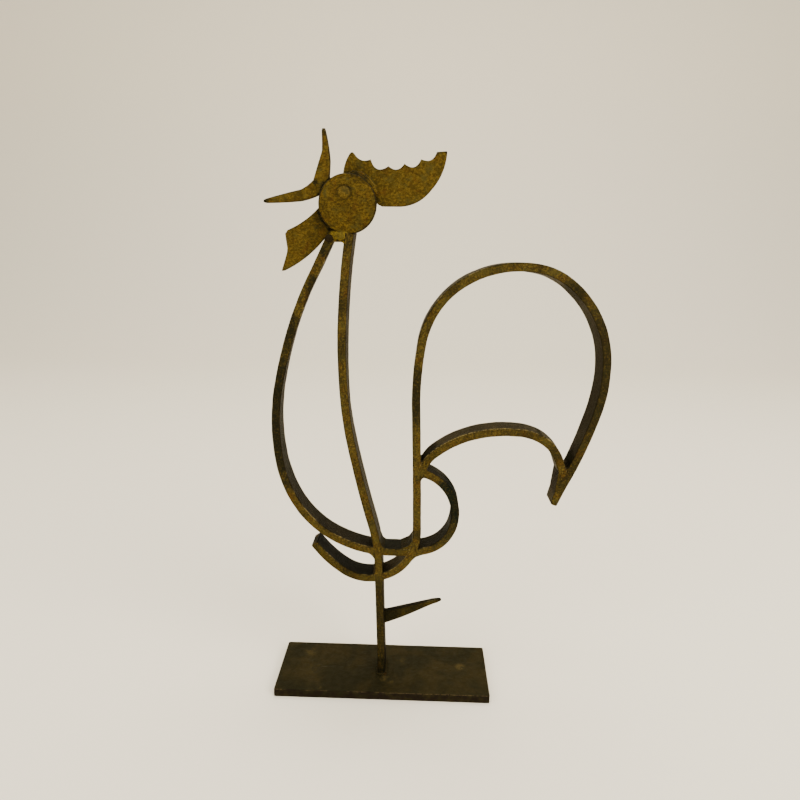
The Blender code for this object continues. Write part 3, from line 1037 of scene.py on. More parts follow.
@dataclass
class Bar(Part):
    """A flat bar on edge along a chain of arcs.

    Its leans are shares of its length with degrees, its swell and dents are heights and
    lengths of waves, and its taper is the length of the last stretch with what that loses
    in thickness. It may follow on from another bar, and step back behind a round node.
    """

    start: Pair
    heading: float
    runs: Pairs
    leans: Pairs = ((0.0, 0.0), (1.0, 0.0))
    ends: tuple[End, End] = (End.SUNK, End.SUNK)
    half_thick: float = 0.00274
    filled: float = 0.988
    swell: Pair = (0.018, 0.035)
    dents: Pairs = ((0.00007, 0.012), (0.00004, 0.004))
    edge_round: float = 0.00060
    free_round: float = 0.0013
    sink: float = 0.00025
    sink_length: float = 0.004
    seed: int = 1
    follows: Bar | None = None
    lap_under: str = ""
    lap_front: float = -0.001
    taper: Pair = (1.0, 0.0)

    def line(self) -> Line:
        """Works out the bar's centre line.

        Returns:
            The line, which starts at the bar's own start or at the end of the one before.
        """
        if self.follows is None:
            return arc_chain(self.place(*self.start), self.heading, self.runs)
        before = self.follows.line()
        return arc_chain(before.points[-1], math.degrees(before.headings[-1]), self.runs)

    def face(self, sign: int) -> Array:
        """The edge line of one face: +1 is left of travel, -1 right."""
        line = self.line()
        return line.points + sign * self.half_thick * line.normals()

    def lap_start(self, line: Line, along: Array) -> float:
        """Finds where the bar goes behind the round piece over it.

        Args:
            line: The bar's centre line.
            along: Distance along it at each point.

        Returns:
            The distance along the bar, or one beyond its end where nothing lies over it.
        """
        beyond = float(along[-1]) + 1.0
        if not self.lap_under:
            return beyond
        centre, radius = self.round_of(self.lap_under)
        inside = np.hypot(*(line.points - centre).T) < radius + 0.0001
        return float(along[np.argmax(inside)]) if inside.any() else beyond

    def stations(self, along: Array, lap: float) -> Array:
        """Chooses where the sections stand.

        Formula: at the line's own points, with a quarter round's in place of the ones
        near a free end, and one on each side of the step behind another piece.

        Args:
            along: Distance along the line at each of its points.
            lap: Distance along it to the step.

        Returns:
            Distances along the bar, from its start up.
        """
        total = along[-1]
        back, _ = end_rounding(self.free_round)
        wanted = [(lap - LAP_STEP / 2, lap + LAP_STEP / 2)]
        if self.ends[0] is End.FREE:
            along = along[along > self.free_round]
            wanted.append(back)
        if self.ends[1] is End.FREE:
            along = along[along < total - self.free_round]
            wanted.append(total - back)
        places = np.unique(np.concatenate((along, *wanted)))
        return places[places <= total]

    def drawn_in(self, places: Array, total: float) -> tuple[Array, Array]:
        """Works out how the ends are drawn in.

        Args:
            places: Distances along the bar.
            total: Its length.

        Returns:
            How far a free end's round draws the section in at each place, and how much
            shallower a sunk end is there.
        """
        inset = np.zeros(len(places))
        shallow = np.zeros(len(places))
        for gap, end in zip((places, total - places), self.ends):
            if end is End.FREE:
                inset = np.maximum(inset, rounded_in(gap, self.free_round))
            else:
                shallow = np.maximum(shallow, self.sink * np.clip(1 - gap / self.sink_length, 0, 1))
        return inset, shallow

    def surface(self) -> Surface:
        """The rounded section carried along the line.

        Formula: the section's first axis is the line's normal, its second the depth. A
        lean turns the section about its front edge. The faces wander a little, a free end
        is a quarter round, and a sunk end is a hair shallower than what it meets.

        Returns:
            The closed surface.
        """
        line = self.line()
        along = line.lengths()
        total = along[-1]
        lap = self.lap_start(line, along)
        places = self.stations(along, lap)
        points = np.stack([np.interp(places, along, line.points[:, i]) for i in range(2)], -1)
        normals = Line(points, np.interp(places, along, line.headings)).normals()
        inset, shallow = self.drawn_in(places, total)
        length, lost = self.taper
        cut = lost / 2 * np.clip(1 - (total - places) / length, 0, 1) ** 1.4
        points = points + normals * cut[:, None]
        level = np.zeros(len(places))
        middle = np.stack((points[:, 0], level, points[:, 1]), -1)
        depth = self.bar_half()
        swell, swell_length = self.swell
        thick = self.half_thick * (self.filled + swell * wander(middle, swell_length, self.seed)) - inset - cut
        lean = np.radians(np.interp(places / total, *zip(*self.leans)))
        side = np.stack((normals[:, 0], level, normals[:, 1]), -1)
        back = np.tile((0.0, 1.0, 0.0), (len(places), 1))
        first = side * np.cos(lean)[:, None] + back * np.sin(lean)[:, None]
        second = back * np.cos(lean)[:, None] - side * np.sin(lean)[:, None]
        centres = middle + (0.0, -depth, 0.0) + second * depth
        lapped = places > lap
        deep = np.where(lapped, (depth - self.lap_front) / 2, depth - shallow - 0.6 * inset)
        centres[lapped, 1] = (depth + self.lap_front) / 2
        made = carry(Section.rounded(9, 16, 5), centres, first, second, thick, deep,
                     np.minimum(self.edge_round, 0.9 * thick))
        normal = np.zeros_like(made.points)
        normal[:-2] = np.repeat(first, (len(normal) - 2) // len(places), axis=0)
        dented = made.points + normal * uneven(made.points, self.dents, self.seed + 1)[:, None]
        return Surface(dented, made.quads, made.triangles, made.flat, made.edge)


@dataclass
class Blade(Part):
    """A cut plate between two edges that run from its root to its tip.

    Its pairs are shares of the lower edge's length with shares of the upper one's. The
    rough faces are heights and lengths of waves, and lie as deep as flush says on the whole.
    """

    lower: Corners
    upper: Corners
    half_thick: float = 0.002
    tip_thick: float = 0.002
    edge_round: float = 0.00055
    end_bulge: float = 0.0
    stations: int = 240
    pairs: Pairs = ((0.0, 0.0), (1.0, 1.0))
    rough: Pairs = ((0.00010, 0.013), (0.00004, 0.0045))
    flush: float = 0.00012
    seed: int = 20

    def hollow(self, section: Section, shares: Array, middle: Array) -> Array:
        """How far the tip's edge is hollowed.

        Formula: the bulge times (1 - the share across squared) times the share along
        squared, against the way that the plate runs out in.

        Args:
            section: The rounded section.
            shares: Share of the length at each station.
            middle: Middle of each station on X and Z.

        Returns:
            The moves on X, Y and Z, one row for each point of the surface.
        """
        across = np.append(np.tile(section.corner[:, 0], self.stations), (0.0, 0.0))
        along = np.append(np.repeat(shares, len(section.corner)), (0.0, 1.0))
        way = middle[-1] - middle[-8]
        way /= np.hypot(*way)
        pull = self.end_bulge * SHARE * (1 - across ** 2) * along ** 2
        return -pull[:, None] * np.array((way[0], 0.0, way[1]))

    def surface(self) -> Surface:
        """A rounded section between the two edges.

        Formula: at each share of the length the section spans from a point of the lower
        edge to a point of the upper one, with the plate's thickness across. Both ends
        close over a quarter round, and the faces wander as hammered plate does.

        Returns:
            The closed surface.
        """
        shares = np.linspace(0, 1, self.stations)
        low = spaced(bulged(self.lower), shares)
        high = spaced(bulged(self.upper), np.interp(shares, *zip(*self.pairs)))
        width = np.maximum(np.hypot(*(high - low).T), 1e-5)
        ways = (high - low) / width[:, None]
        middle = (low + high) / 2
        length = distances(middle)
        inset = np.maximum(*(rounded_in(gap, self.edge_round) for gap in (length, length[-1] - length)))
        thick = self.half_thick + (self.tip_thick - self.half_thick) * shares ** 1.2
        thick = np.maximum(thick - inset, 0.0002)
        half = np.maximum(width / 2, 0.00015)
        level = np.zeros(self.stations)
        centres = np.stack((middle[:, 0], level + self.sheet_middle(), middle[:, 1]), -1)
        first = np.stack((ways[:, 0], level, ways[:, 1]), -1)
        second = np.tile((0.0, 1.0, 0.0), (self.stations, 1))
        section = Section.rounded(38, 5, 5)
        made = carry(section, centres, first, second, half, thick,
                     np.minimum(self.edge_round, np.minimum(half, thick) * 0.96))
        points = made.points
        if self.end_bulge:
            points += self.hollow(section, shares, middle)
        facing = np.append(np.tile(section.facing[:, 1], self.stations), (0.0, 0.0))
        points[:, 1] += facing * (uneven(points, self.rough, self.seed) - self.flush)
        return Surface(points, made.quads, made.triangles, made.flat, made.edge)


@dataclass
class Turned(Part):
    """A round piece about an axis along Y, from a profile of radius and depth.

    It is painted darker towards its rim, from the first of its rim edge's shares of the radius, most at the second.
    """

    wobble: float = 0.0
    rough: float = 0.00005
    rim_edge: Pair = (0.93, 0.99)
    rim_edge_peak: float = 0.6
    seed: int = 40
    sides: int = 160

    @abstractmethod
    def profile(self, radius: float, front: float, back: float) -> Array:
        """Radius and depth from the middle of the front, over the rim, to the middle of the back."""

    def surface(self) -> Surface:
        """The profile turned about its axis.

        Formula: point = centre + radius (cos a, sin a) across the axis, with the radius
        wobbling by a few waves round the rim and the face wandering in depth.

        Returns:
            The closed surface.
        """
        low, high = self.box_of(self.nodes[0])
        centre, reach = self.round_of(self.nodes[0])
        profile = self.profile(reach, low[1], high[1])
        angle = np.arange(self.sides) * 2 * np.pi / self.sides
        waves = np.sin(2 * angle + 1.1) + 0.6 * np.sin(5 * angle + 0.4) + 0.35 * np.sin(11 * angle)
        top = profile[:, 0].max()
        radius = profile[:, :1] - self.wobble * (1 + waves[None] / 1.95) * (profile[:, :1] / top) ** 3
        body = np.stack((centre[0] + radius * np.cos(angle),
                         np.repeat(profile[:, 1:], self.sides, axis=1),
                         centre[1] + radius * np.sin(angle)), -1)
        slope = np.gradient(profile, axis=0)
        faces = np.abs(slope[:, 0]) / np.maximum(np.hypot(*slope.T), 1e-9)
        flat = np.repeat(faces[:, None] ** 2, self.sides, axis=1)
        rim_edge = np.interp(profile[:, 0] / top, self.rim_edge, (0.0, self.rim_edge_peak))
        made = close_tube(body, flat, np.repeat(rim_edge[:, None], self.sides, axis=1))
        made.flat[-2:] = 1.0
        made.points[:, 1] += self.rough * made.flat * (1 + wander(made.points, 0.009, self.seed))
        return Surface(made.points, made.quads[:, ::-1], made.triangles[:, ::-1], made.flat, made.edge)


@dataclass(frozen=True)
class Corner:
    """Where the faces of two bars meet: the point, and the unit way out of it along each face."""

    point: Array
    way_a: Array
    way_b: Array

    @classmethod
    def between(cls, first: Bar, first_side: int, second: Bar, second_side: int, near: Pair) -> Corner:
        """Finds the corner of two bars' faces.

        Formula: of all pairs of points of the two face lines near the named place, the
        closest. Each way is the face's own direction that leads off the other face.

        Args:
            first: The first bar.
            first_side: Its face, +1 for the left of travel and -1 for the right.
            second: The second bar.
            second_side: Its face, likewise.
            near: A place close to the corner, in hundredths of the height.

        Returns:
            The corner.
        """
        lines = []
        for bar, side in ((first, first_side), (second, second_side)):
            face = bar.face(side)
            keep = np.hypot(*(face - Part.place(*near)).T) < 0.02
            line = bar.line()
            lines.append((face[keep], line.ways()[keep], side * line.normals()[keep]))
        (face_a, ways_a, out_a), (face_b, ways_b, out_b) = lines
        gaps = np.hypot(*(face_a[:, None] - face_b[None]).transpose(2, 0, 1))
        i, j = np.unravel_index(np.argmin(gaps), gaps.shape)
        return cls((face_a[i] + face_b[j]) / 2, ways_a[i] * np.sign(ways_a[i] @ out_b[j]),
                   ways_b[j] * np.sign(ways_b[j] @ out_a[i]))


@dataclass
class Web(Part):
    """A weld drawn out smooth in the corner of two bars, as deep as they are."""

    corner: Corner
    legs: Pair
    fullness: float = 0.25
    sink: float = 0.0005
    end_round: float = 0.0006
    below_front: float = 0.00018
    ripple: Pair = (0.00010, 0.0021)
    lumps: Pair = (0.00008, 0.004)
    seed: int = 60

    def section(self) -> tuple[Array, Array, Array]:
        """The web's section.

        Formula: its open side is the quadratic curve from one leg's end to the other with
        its control point near the corner. Its other sides run to a root inside the bars.

        Returns:
            The closed line on X and Z, anticlockwise, which of its points lie on the open
            side, and the unit way in from there.
        """
        point, way_a, way_b = self.corner.point, self.corner.way_a, self.corner.way_b
        inward = -(way_a + way_b) / np.hypot(*(way_a + way_b))
        a = point + way_a * self.legs[0] + inward * self.sink * 0.5
        b = point + way_b * self.legs[1] + inward * self.sink * 0.5
        control = point + (way_a * self.legs[0] + way_b * self.legs[1]) * self.fullness
        root = point + inward * self.sink * 2.2
        share = np.linspace(0, 1, 14)[:, None]
        curve = (1 - share) ** 2 * a + 2 * share * (1 - share) * control + share ** 2 * b
        back = np.linspace(0, 1, 7)[1:-1, None]
        loop = np.concatenate((curve, b + (root - b) * back, root[None], root + (a - root) * back))
        (ax, az), (bx, bz) = b - a, root - a
        if ax * bz < az * bx:
            loop = loop[::-1]
        return loop, np.hypot(*(loop - root).T) > self.sink * 2, inward

    def surface(self) -> Surface:
        """A concave web across the corner.

        Formula: the section runs through the bars' depth, its ends drawn in over a quarter
        round. Its open side ripples by a sine of the depth, and all of it is lumpy.

        Returns:
            The closed surface.
        """
        loop, open_side, inward = self.section()
        depth = self.bar_half() - self.below_front
        gaps, insets = end_rounding(self.end_round, 5)
        inner = np.linspace(-depth + self.end_round, depth - self.end_round, 22)[1:-1]
        ys = np.concatenate((-depth + gaps[::-1], inner, depth - gaps))
        draw = np.concatenate((insets[::-1], np.zeros(len(inner)), insets))
        heart = loop.mean(axis=0)
        scale = 1 - draw / np.hypot(*(loop - heart).T).mean()
        height, length = self.ripple
        ripple = height * np.sin(ys / length * 2 * np.pi)[:, None] * open_side[None]
        ring = heart + (loop - heart)[None] * scale[:, None, None] - ripple[..., None] * inward
        body = np.stack((ring[..., 0], np.repeat(ys[:, None], len(loop), axis=1), ring[..., 1]), -1)
        flat = np.repeat(np.where(draw > self.end_round / 2, 1.0, 0.35)[:, None], len(loop), axis=1)
        made = close_tube(body, flat, np.zeros_like(flat))
        made.flat[-2:] = 1.0
        height, length = self.lumps
        points = made.points + height * wander(made.points, length, self.seed)[:, None] * (1.0, 0.3, 1.0)
        return outward(Surface(points, made.quads, made.triangles, made.flat, made.edge))


@dataclass
class Lump(Part):
    """A lump of weld metal run between pieces: a place, and half its size on X, Y and Z."""

    middle: Pair
    sizes: tuple[float, float, float]
    depth: float = 0.0
    power: float = 2.8
    rough: float = 0.0005
    rough_length: float = 0.0055
    sunk: float = 0.3
    rows: int = 34
    sides: int = 64
    seed: int = 80

    def surface(self) -> Surface:
        """A squared ball with a lumpy skin.

        Formula: a superellipsoid, each of its coordinates the sine or cosine raised to 2 over
        the power, pushed in and out by smooth noise.

        Returns:
            The closed surface.
        """
        rise = np.linspace(-np.pi / 2, np.pi / 2, self.rows + 2)[1:-1]
        turn = np.arange(self.sides) * 2 * np.pi / self.sides

        def shaped(values: Array) -> Array:
            """Keeps the sign and raises the size to 2 over the power."""
            return np.sign(values) * np.abs(values) ** (2 / self.power)

        x, z = self.place(*self.middle)
        ring = shaped(np.cos(rise))[:, None]
        up = np.repeat(shaped(np.sin(rise))[:, None], self.sides, axis=1)
        ball = np.stack((ring * shaped(np.cos(turn)), up, ring * shaped(np.sin(turn))), -1)
        offset = ball * np.array(self.sizes)
        body = np.array((x, self.depth, z)) + offset
        away = offset / np.linalg.norm(offset, axis=-1, keepdims=True)
        swell = self.rough * (wander(body, self.rough_length, self.seed) - self.sunk)
        flat = np.repeat(0.5 + 0.5 * np.sin(rise)[:, None] ** 2, self.sides, axis=1)
        return outward(close_tube(body + away * swell[..., None], flat, np.zeros_like(flat)))


@dataclass
class RimWeld(Part):
    """The weld that joins the comb to the disc's rim, ground off and painted over.

    Its span is two angles round the disc, in degrees, and its lumps a height and a length.
    """

    span: Pair = (15.0, 88.0)
    middle_depth: float = -0.0018
    reach_out: float = 0.0030
    depth: float = 0.0024
    ribs: int = 9
    rib_depth: float = 0.045
    lumps: Pair = (0.00030, 0.005)
    stations: int = 110
    sides: int = 72
    seed: int = 95

    def surface(self) -> Surface:
        """A flattened tube along the rim, ribbed along its length, thinning at both ends.

        Formula: the middle line is an arc just outside the disc's rim. The section is an
        ellipse whose size follows the root of a half sine along the weld, pushed in by
        a sine round it for the ribs that the welding left.

        Returns:
            The closed surface.
        """
        centre, reach = self.round_of("head_disc")
        angle = np.radians(np.linspace(*self.span, self.stations))
        out = np.stack((np.cos(angle), np.zeros(self.stations), np.sin(angle)), -1)
        middle = np.array((centre[0], self.middle_depth, centre[1])) + (reach + 0.0002) * out
        size = 0.10 + 0.90 * np.sin(np.pi * np.linspace(0, 1, self.stations)) ** 0.5
        turn = np.arange(self.sides) * 2 * np.pi / self.sides
        sway = 0.8 * wander(middle, 0.010, self.seed + 1)[:, None]
        ribbed = 1 - self.rib_depth * (1 + np.sin(self.ribs * turn[None] + sway))
        across = self.reach_out * np.cos(turn) * size[:, None] * ribbed
        deep = self.depth * np.sin(turn) * size[:, None] * ribbed
        body = middle[:, None] + across[..., None] * out[:, None] + deep[..., None] * np.array((0, 1, 0))
        height, length = self.lumps
        body = body + height * wander(body, length, self.seed)[..., None] * out[:, None]
        flat = np.tile(0.6 + 0.4 * np.abs(np.sin(turn)), (self.stations, 1))
        return outward(close_tube(body, flat, 0.6 * np.clip((0.94 - ribbed) / 0.03, 0, 1)))


@dataclass
class FootBead(Part):
    """The small bead of weld round the leg's foot."""

    leg: Bar
    radius: float = 0.0011
    outside: float = 0.0001
    bend: float = 0.001
    dab: float = 0.0017
    dab_height: float = 0.14
    sides: int = 18

    def surface(self) -> Surface:
        """A rippled tube round the foot's outline.

        Formula: the middle line is a rounded rectangle just outside the bar's faces, and
        the tube's radius swells by a sine along it, one wave for each dab of weld.

        Returns:
            The closed surface, a loop both ways.
        """
        section = Section.rounded(16, 44, 8)
        foot = self.leg.line().points[0]
        half = np.array((self.leg.half_thick, self.bar_half())) + self.outside
        path = (foot[0], 0.0) + section.corner * (half - self.bend) + section.facing * self.bend
        along = distances(path)
        dabs = round(along[-1] / self.dab)
        radius = self.radius * (1 + self.dab_height * np.sin(2 * np.pi * dabs * along / along[-1]))[:, None]
        turn = np.arange(self.sides) * 2 * np.pi / self.sides
        out = section.facing
        body = np.stack((path[:, :1] + out[:, :1] * radius * np.cos(turn),
                         path[:, 1:] + out[:, 1:] * radius * np.cos(turn),
                         self.plate_top() + self.outside + 0.9 * radius * np.sin(turn)), -1)
        body[..., 2] = np.maximum(body[..., 2], self.plate_top() - 0.0008)
        flat = np.full(body.shape[:2], 0.5)
        return outward(close_tube(body, flat, np.zeros_like(flat), looped=True))


@dataclass
class Bird:
    """All of the bird's bars, from the foot to the tail, and the welds between them."""

    neck: Bar = field(default_factory=lambda: Bar(
        "neck_and_leg", ("neck_and_leg_bar",), Slot.BAR, (-0.27, -0.2), 91.6,
        ((24.25, 0.0), (8.08, 14.1), (16.24, -4.7), (8.01, -6.3), (11.58, -6.1), (17.95, -8.0)),
        leans=((0.48, 0.0), (0.585, -1.3), (0.64, -2.2), (0.7, -0.8), (0.76, 0.5), (0.82, 1.2), (1.0, 1.2)),
        lap_under="head_disc", seed=2, paint=LEG_GILT,
        # The last two darken the leg towards its foot: painted shade low in the figure
        stains_and_shades=(StainAndShade(-2.4, 51.0, 4.0, 0.5), StainAndShade(-4.4, 56.5, 3.6, 0.4), StainAndShade(-7.6, 72.0, 3.0, 0.6),
                StainAndShade(-0.3, 5.0, 18.0, 0.62, 0.8), StainAndShade(-0.3, 0.0, 9.0, 0.95, 0.05))))
    breast: Bar = field(default_factory=lambda: Bar(
        "breast", ("breast_bar",), Slot.DARK_BAR, (-8.95, 83.29), -114.2,
        ((6.65, -3.4), (10.0, 9.0), (9.66, 6.5), (14.78, 20.7), (8.51, 21.6), (10.5, 32.7), (7.66, 20.4)),
        leans=((0.0, 4.0), (0.08, 4.5), (0.25, 5.3), (0.43, 3.2), (0.54, 1.8), (0.66, -0.5), (0.76, 0.0)),
        ends=(End.FREE, End.SUNK), seed=5, paint=DARK_GILT,
        stains_and_shades=(StainAndShade(-19.0, 52.0, 18.5, 0.9, 0.35, on_sides=0.2),)))
    thigh: Bar = field(default_factory=lambda: Bar(
        "thigh", ("thigh_bar",), Slot.BAR, (-12.88, 28.05), -55.4, ((7.69, 20.3), (6.48, 45.5), (0.6, 3.9)),
        ends=(End.FREE, End.SUNK), free_round=0.0007, seed=8, paint=SHADED_GILT))
    curl: Bar = field(default_factory=lambda: Bar(
        "rump", ("rump_curl",), Slot.DARK_BAR, (5.12, 26.1), 31.8,
        ((2.64, -18.6), (6.28, 51.9), (5.0, 33.6), (5.79, 40.4), (4.5, 33.0)), seed=11, paint=GREEN_GILT,
        stains_and_shades=(StainAndShade(12.6, 37.2, 6.6, 1.0, 0.45), StainAndShade(12.0, 31.5, 4.5, 0.6, 0.4))))
    arc: Bar = field(default_factory=lambda: Bar(
        "inner_tail", ("inner_tail_arc",), Slot.BAR, (6.74, 42.55), 79.0,
        ((4.03, -38.3), (8.57, -26.5), (7.8, -19.7), (3.91, -23.5), (5.18, -40.2), (3.9, -1.7)),
        seed=14, paint=ARC_GILT,
        # The third darkens the arc's top side at its root by the post: painted shade in the corner
        stains_and_shades=(StainAndShade(30.5, 46.5, 3.0, 0.6, 0.3), StainAndShade(25.0, 50.2, 3.0, 0.55, 0.2, on_sides=0.5),
                StainAndShade(8.0, 45.5, 4.0, 0.95, 0.4, on_face=0.0), StainAndShade(27.5, 50.5, 1.0, 0.8))))

    def belly(self) -> Bar:
        """The link that carries the breast bar's line on from the leg."""
        return Bar("belly", ("belly_link",), Slot.BAR, (0.0, 0.0), 0.0, ((2.19, 5.9), (4.2, 3.4)), seed=17,
                   follows=self.breast, paint=SHADED_GILT)

    def tail(self) -> Bar:
        """The long bar that carries the thigh's line on.

        Returns:
            The bar, which runs under the belly, up, over and down to the tail's tip.
        """
        runs = ((5.2, 33.8), (3.51, 20.6), (3.78, 22.3), (23.34, 0.9), (12.03, -11.3), (13.97, -53.1),
                (11.2, -36.4), (6.11, -28.5), (14.94, -47.4), (9.7, -20.1), (12.9, -9.35), (5.3, 4.2))
        leans = ((0.5, 0.0), (0.56, 1.5), (0.665, 6.5), (0.72, 5.6), (0.78, 3.6), (0.83, 4.0),
                 (0.87, 3.2), (0.92, 0.3), (0.935, 0.0))
        # The fifth darkens the sides in the V at the tail's tip: painted shade in the crevice
        stains_and_shades = (StainAndShade(5.6, 56.5, 7.5, 0.72, 0.4), StainAndShade(31.3, 74.5, 4.5, 0.7), StainAndShade(11.1, 75.1, 2.5, 0.5),
                  StainAndShade(37.5, 60.5, 16.5, 0.70, 0.55, on_sides=0.75),
                  StainAndShade(32.5, 45.8, 2.8, 1.0, on_face=0.0), StainAndShade(32.8, 44.0, 6.5, 0.6, 0.5))
        return Bar("tail", ("tail_bar",), Slot.BAR, (0.0, 0.0), 0.0, runs, leans=leans, ends=(End.SUNK, End.FREE),
                   seed=20, follows=self.thigh, taper=(0.008, 0.0011), free_round=0.0009, stains_and_shades=stains_and_shades)

    def webs(self, belly: Bar, tail: Bar) -> tuple[Web, ...]:
        """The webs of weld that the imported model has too.

        Args:
            belly: The belly link.
            tail: The tail bar.

        Returns:
            The webs. The wide ones, with a long leg, are drawn out thin.
        """
        rows = (
            ("web_breast_leg", "weld_breast_to_leg", self.breast, -1, self.neck, 1, (-1.9, 26.0), (0.0040, 0.0042)),
            ("web_belly_leg", "weld_belly_to_leg", belly, 1, self.neck, -1, (-0.6, 27.5), (0.0036, 0.0056)),
            ("web_thigh_leg", "weld_thigh_to_leg", self.thigh, 1, self.neck, 1, (-1.6, 21.7), (0.0018, 0.0018)),
            ("web_haunch_leg", "weld_haunch_to_leg", tail, -1, self.neck, -1, (-0.2, 20.5), (0.0018, 0.0018)),
            ("web_belly_tail", "weld_belly_to_tail", belly, 1, tail, 1, (4.5, 27.5), (0.0066, 0.0092)),
            ("web_curl_tail", "weld_curl_to_tail", self.curl, -1, tail, -1, (5.7, 26.0), (0.0032, 0.0032)),
            ("web_curl_post", "weld_curl_to_post", self.curl, 1, tail, -1, (6.5, 41.7), (0.0030, 0.0036)),
            ("web_arc_post", "weld_arc_to_post", self.arc, 1, tail, -1, (6.5, 44.5), (0.0018, 0.0018)),
            ("web_arc_limb", "weld_arc_to_limb", self.arc, 1, tail, -1, (32.3, 43.8), (0.0022, 0.0022)),
        )
        # The spot at the V of the tail's tip is painted shade in the crevice
        return tuple(
            Web(name, (node,), Slot.WELD, Corner.between(*faces, near), legs,
                fullness=0.06 if max(legs) > 0.005 else 0.25, seed=60 + index,
                paint=SHADED_GILT if faces[0] is belly else WELD_GILT, stains_and_shades=(StainAndShade(32.5, 45.4, 1.6, 1.0),))
            for index, (name, node, *faces, near, legs) in enumerate(rows))

    def small_webs(self, tail: Bar) -> tuple[Web, Web]:
        """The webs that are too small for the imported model.

        Args:
            tail: The tail bar.

        Returns:
            The web between the inner arc and the curl, and the one that fills the tail's tip.
        """
        curl_corner = Corner.between(self.arc, -1, self.curl, -1, (7.4, 42.9))
        tip_corner = Corner.between(self.arc, -1, tail, -1, (31.2, 42.2))
        return (Web("web_arc_curl", (), Slot.WELD, curl_corner, (0.0012, 0.0012), fullness=0.5, seed=75,
                    paint=WELD_GILT),
                # The tip web's spot is painted shade over the side that the lamp lights
                Web("web_tip", (), Slot.WELD, tip_corner, (0.0070, 0.0098), fullness=0.46, seed=76,
                    paint=DARK_GILT, stains_and_shades=(StainAndShade(31.0, 41.0, 4.0, 0.5, 0.6),)))

    def build(self) -> None:
        """Builds the bars, the webs of weld between them and the bead round the foot."""
        belly = self.belly()
        tail = self.tail()
        foot = FootBead("foot_weld", ("weld_foot_left", "weld_foot_right"), Slot.WELD, self.neck, paint=FOOT_COAT)
        for piece in (self.neck, self.breast, belly, self.thigh, tail, self.curl, self.arc,
                      *self.webs(belly, tail), *self.small_webs(tail), foot):
            piece.build()


@dataclass
class Disc(Turned):
    """The head's domed disc, with a pressed line inside its rim."""

    wobble: float = 0.00004
    rough: float = 0.00006
    seed: int = 41
    rise: float = 0.00165
    face_share: float = 0.945
    groove_share: float = 0.89
    groove_width: float = 0.022
    groove_depth: float = 0.00022
    lip_drop: float = 0.0011
    back_round: float = 0.0006

    def profile(self, radius: float, front: float, back: float) -> Array:
        """The disc's profile.

        Formula: a parabola with a bell-shaped groove in it, a quarter of an ellipse for
        the lip, a straight wall, a quarter round and a flat back.

        Args:
            radius: Radius of the disc.
            front: Depth of the middle of its front.
            back: Depth of its back.

        Returns:
            Radius and depth from the middle of the front to the middle of the back.
        """
        share = np.linspace(0.004, self.face_share, 60)
        groove = self.groove_depth * np.exp(-((share - self.groove_share) / self.groove_width) ** 2)
        dome = np.stack((radius * share, front + self.rise * share ** 2 + groove), -1)
        angle = np.linspace(0, np.pi / 2, 9)
        lip = np.stack((radius * (self.face_share + (1 - self.face_share) * np.sin(angle)),
                        dome[-1, 1] + self.lip_drop * (1 - np.cos(angle))), -1)[1:]
        wall = np.stack((np.full(4, radius), np.linspace(lip[-1, 1], back - self.back_round, 5)[1:]), -1)
        back_lip = np.stack((radius - self.back_round * (1 - np.cos(angle)),
                             back - self.back_round * (1 - np.sin(angle))), -1)[1:]
        plain = np.stack((np.linspace(radius - self.back_round, 0.0001, 24)[1:], np.full(23, back)), -1)
        return np.concatenate((dome, lip, wall, back_lip, plain))


@dataclass
class Eye(Turned):
    """The eye: a bulb in a ring, with a band round the bulb painted dark as the shade of a groove."""

    rough: float = 0.00002
    # The band painted dark round the bulb: painted shade of a groove
    rim_edge: Pair = (0.74, 0.84)
    seed: int = 44
    sides: int = 72
    bulb_share: float = 0.86
    bulb_rise: float = 0.0012
    ring_rise: float = 0.0004

    def profile(self, radius: float, front: float, back: float) -> Array:
        """The eye's profile.

        Formula: the bulb falls back as the share of its radius raised to 2.6, the ring
        comes forward evenly, and the wall and the back are straight.

        Args:
            radius: Radius of the ring.
            front: Depth of the middle of the bulb.
            back: Depth of the eye's back.

        Returns:
            Radius and depth from the middle of the front to the middle of the back.
        """
        bulb = self.bulb_share * radius
        share = np.linspace(0.01, 1.0, 40)
        dome = np.stack((bulb * share, front + self.bulb_rise * share ** 2.6), -1)
        share = np.linspace(0, 1, 12)[1:]
        ring = np.stack((bulb + (radius - bulb) * share, dome[-1, 1] - self.ring_rise * share), -1)
        wall = np.stack((np.full(3, radius), np.linspace(ring[-1, 1], back, 4)[1:]), -1)
        plain = np.stack((np.linspace(radius, 0.0001, 8)[1:], np.full(7, back)), -1)
        return np.concatenate((dome, ring, wall, plain))


@dataclass
class Comb(Blade):
    """The comb's plate, cut in five points."""

    lower: Corners = ((-6.9, 91.6, 0), (-2.8, 89.6, 0), (-1.35, 88.5, 0), (-0.7, 88.2, 0), (2.25, 88.2, -0.64),
                      (7.3, 90.8, -0.55), (9.72, 96.55, 0))
    upper: Corners = ((-6.95, 92.9, 0), (-7.0, 93.2, 0.2), (-5.92, 96.2, 0.25), (-5.15, 96.2, -0.55),
                      (-2.55, 95.4, -1.0), (0.33, 94.4, -0.7), (2.9, 94.8, -0.88), (5.56, 95.5, -0.74),
                      (8.05, 96.6, 0), (9.66, 96.72, 0))
    pairs: Pairs = ((0.0, 0.0), (0.20, 0.30), (0.36, 0.46), (0.62, 0.64), (0.8, 0.78), (1.0, 1.0))
    stations: int = 320
    seed: int = 21


@dataclass
class Wattle(Blade):
    """The wattle's plate, its tip hollowed like a fish's tail."""

    lower: Corners = ((-8.3, 84.6, 0), (-9.9, 83.3, 0), (-10.45, 82.8, 0.44), (-17.1, 77.7, 0), (-17.55, 77.65, 0))
    upper: Corners = ((-7.6, 86.6, 0), (-9.0, 86.9, 0), (-11.1, 87.9, 0.34), (-16.4, 84.3, 0.05), (-16.75, 83.8, 0))
    end_bulge: float = 0.69
    stations: int = 200
    seed: int = 24


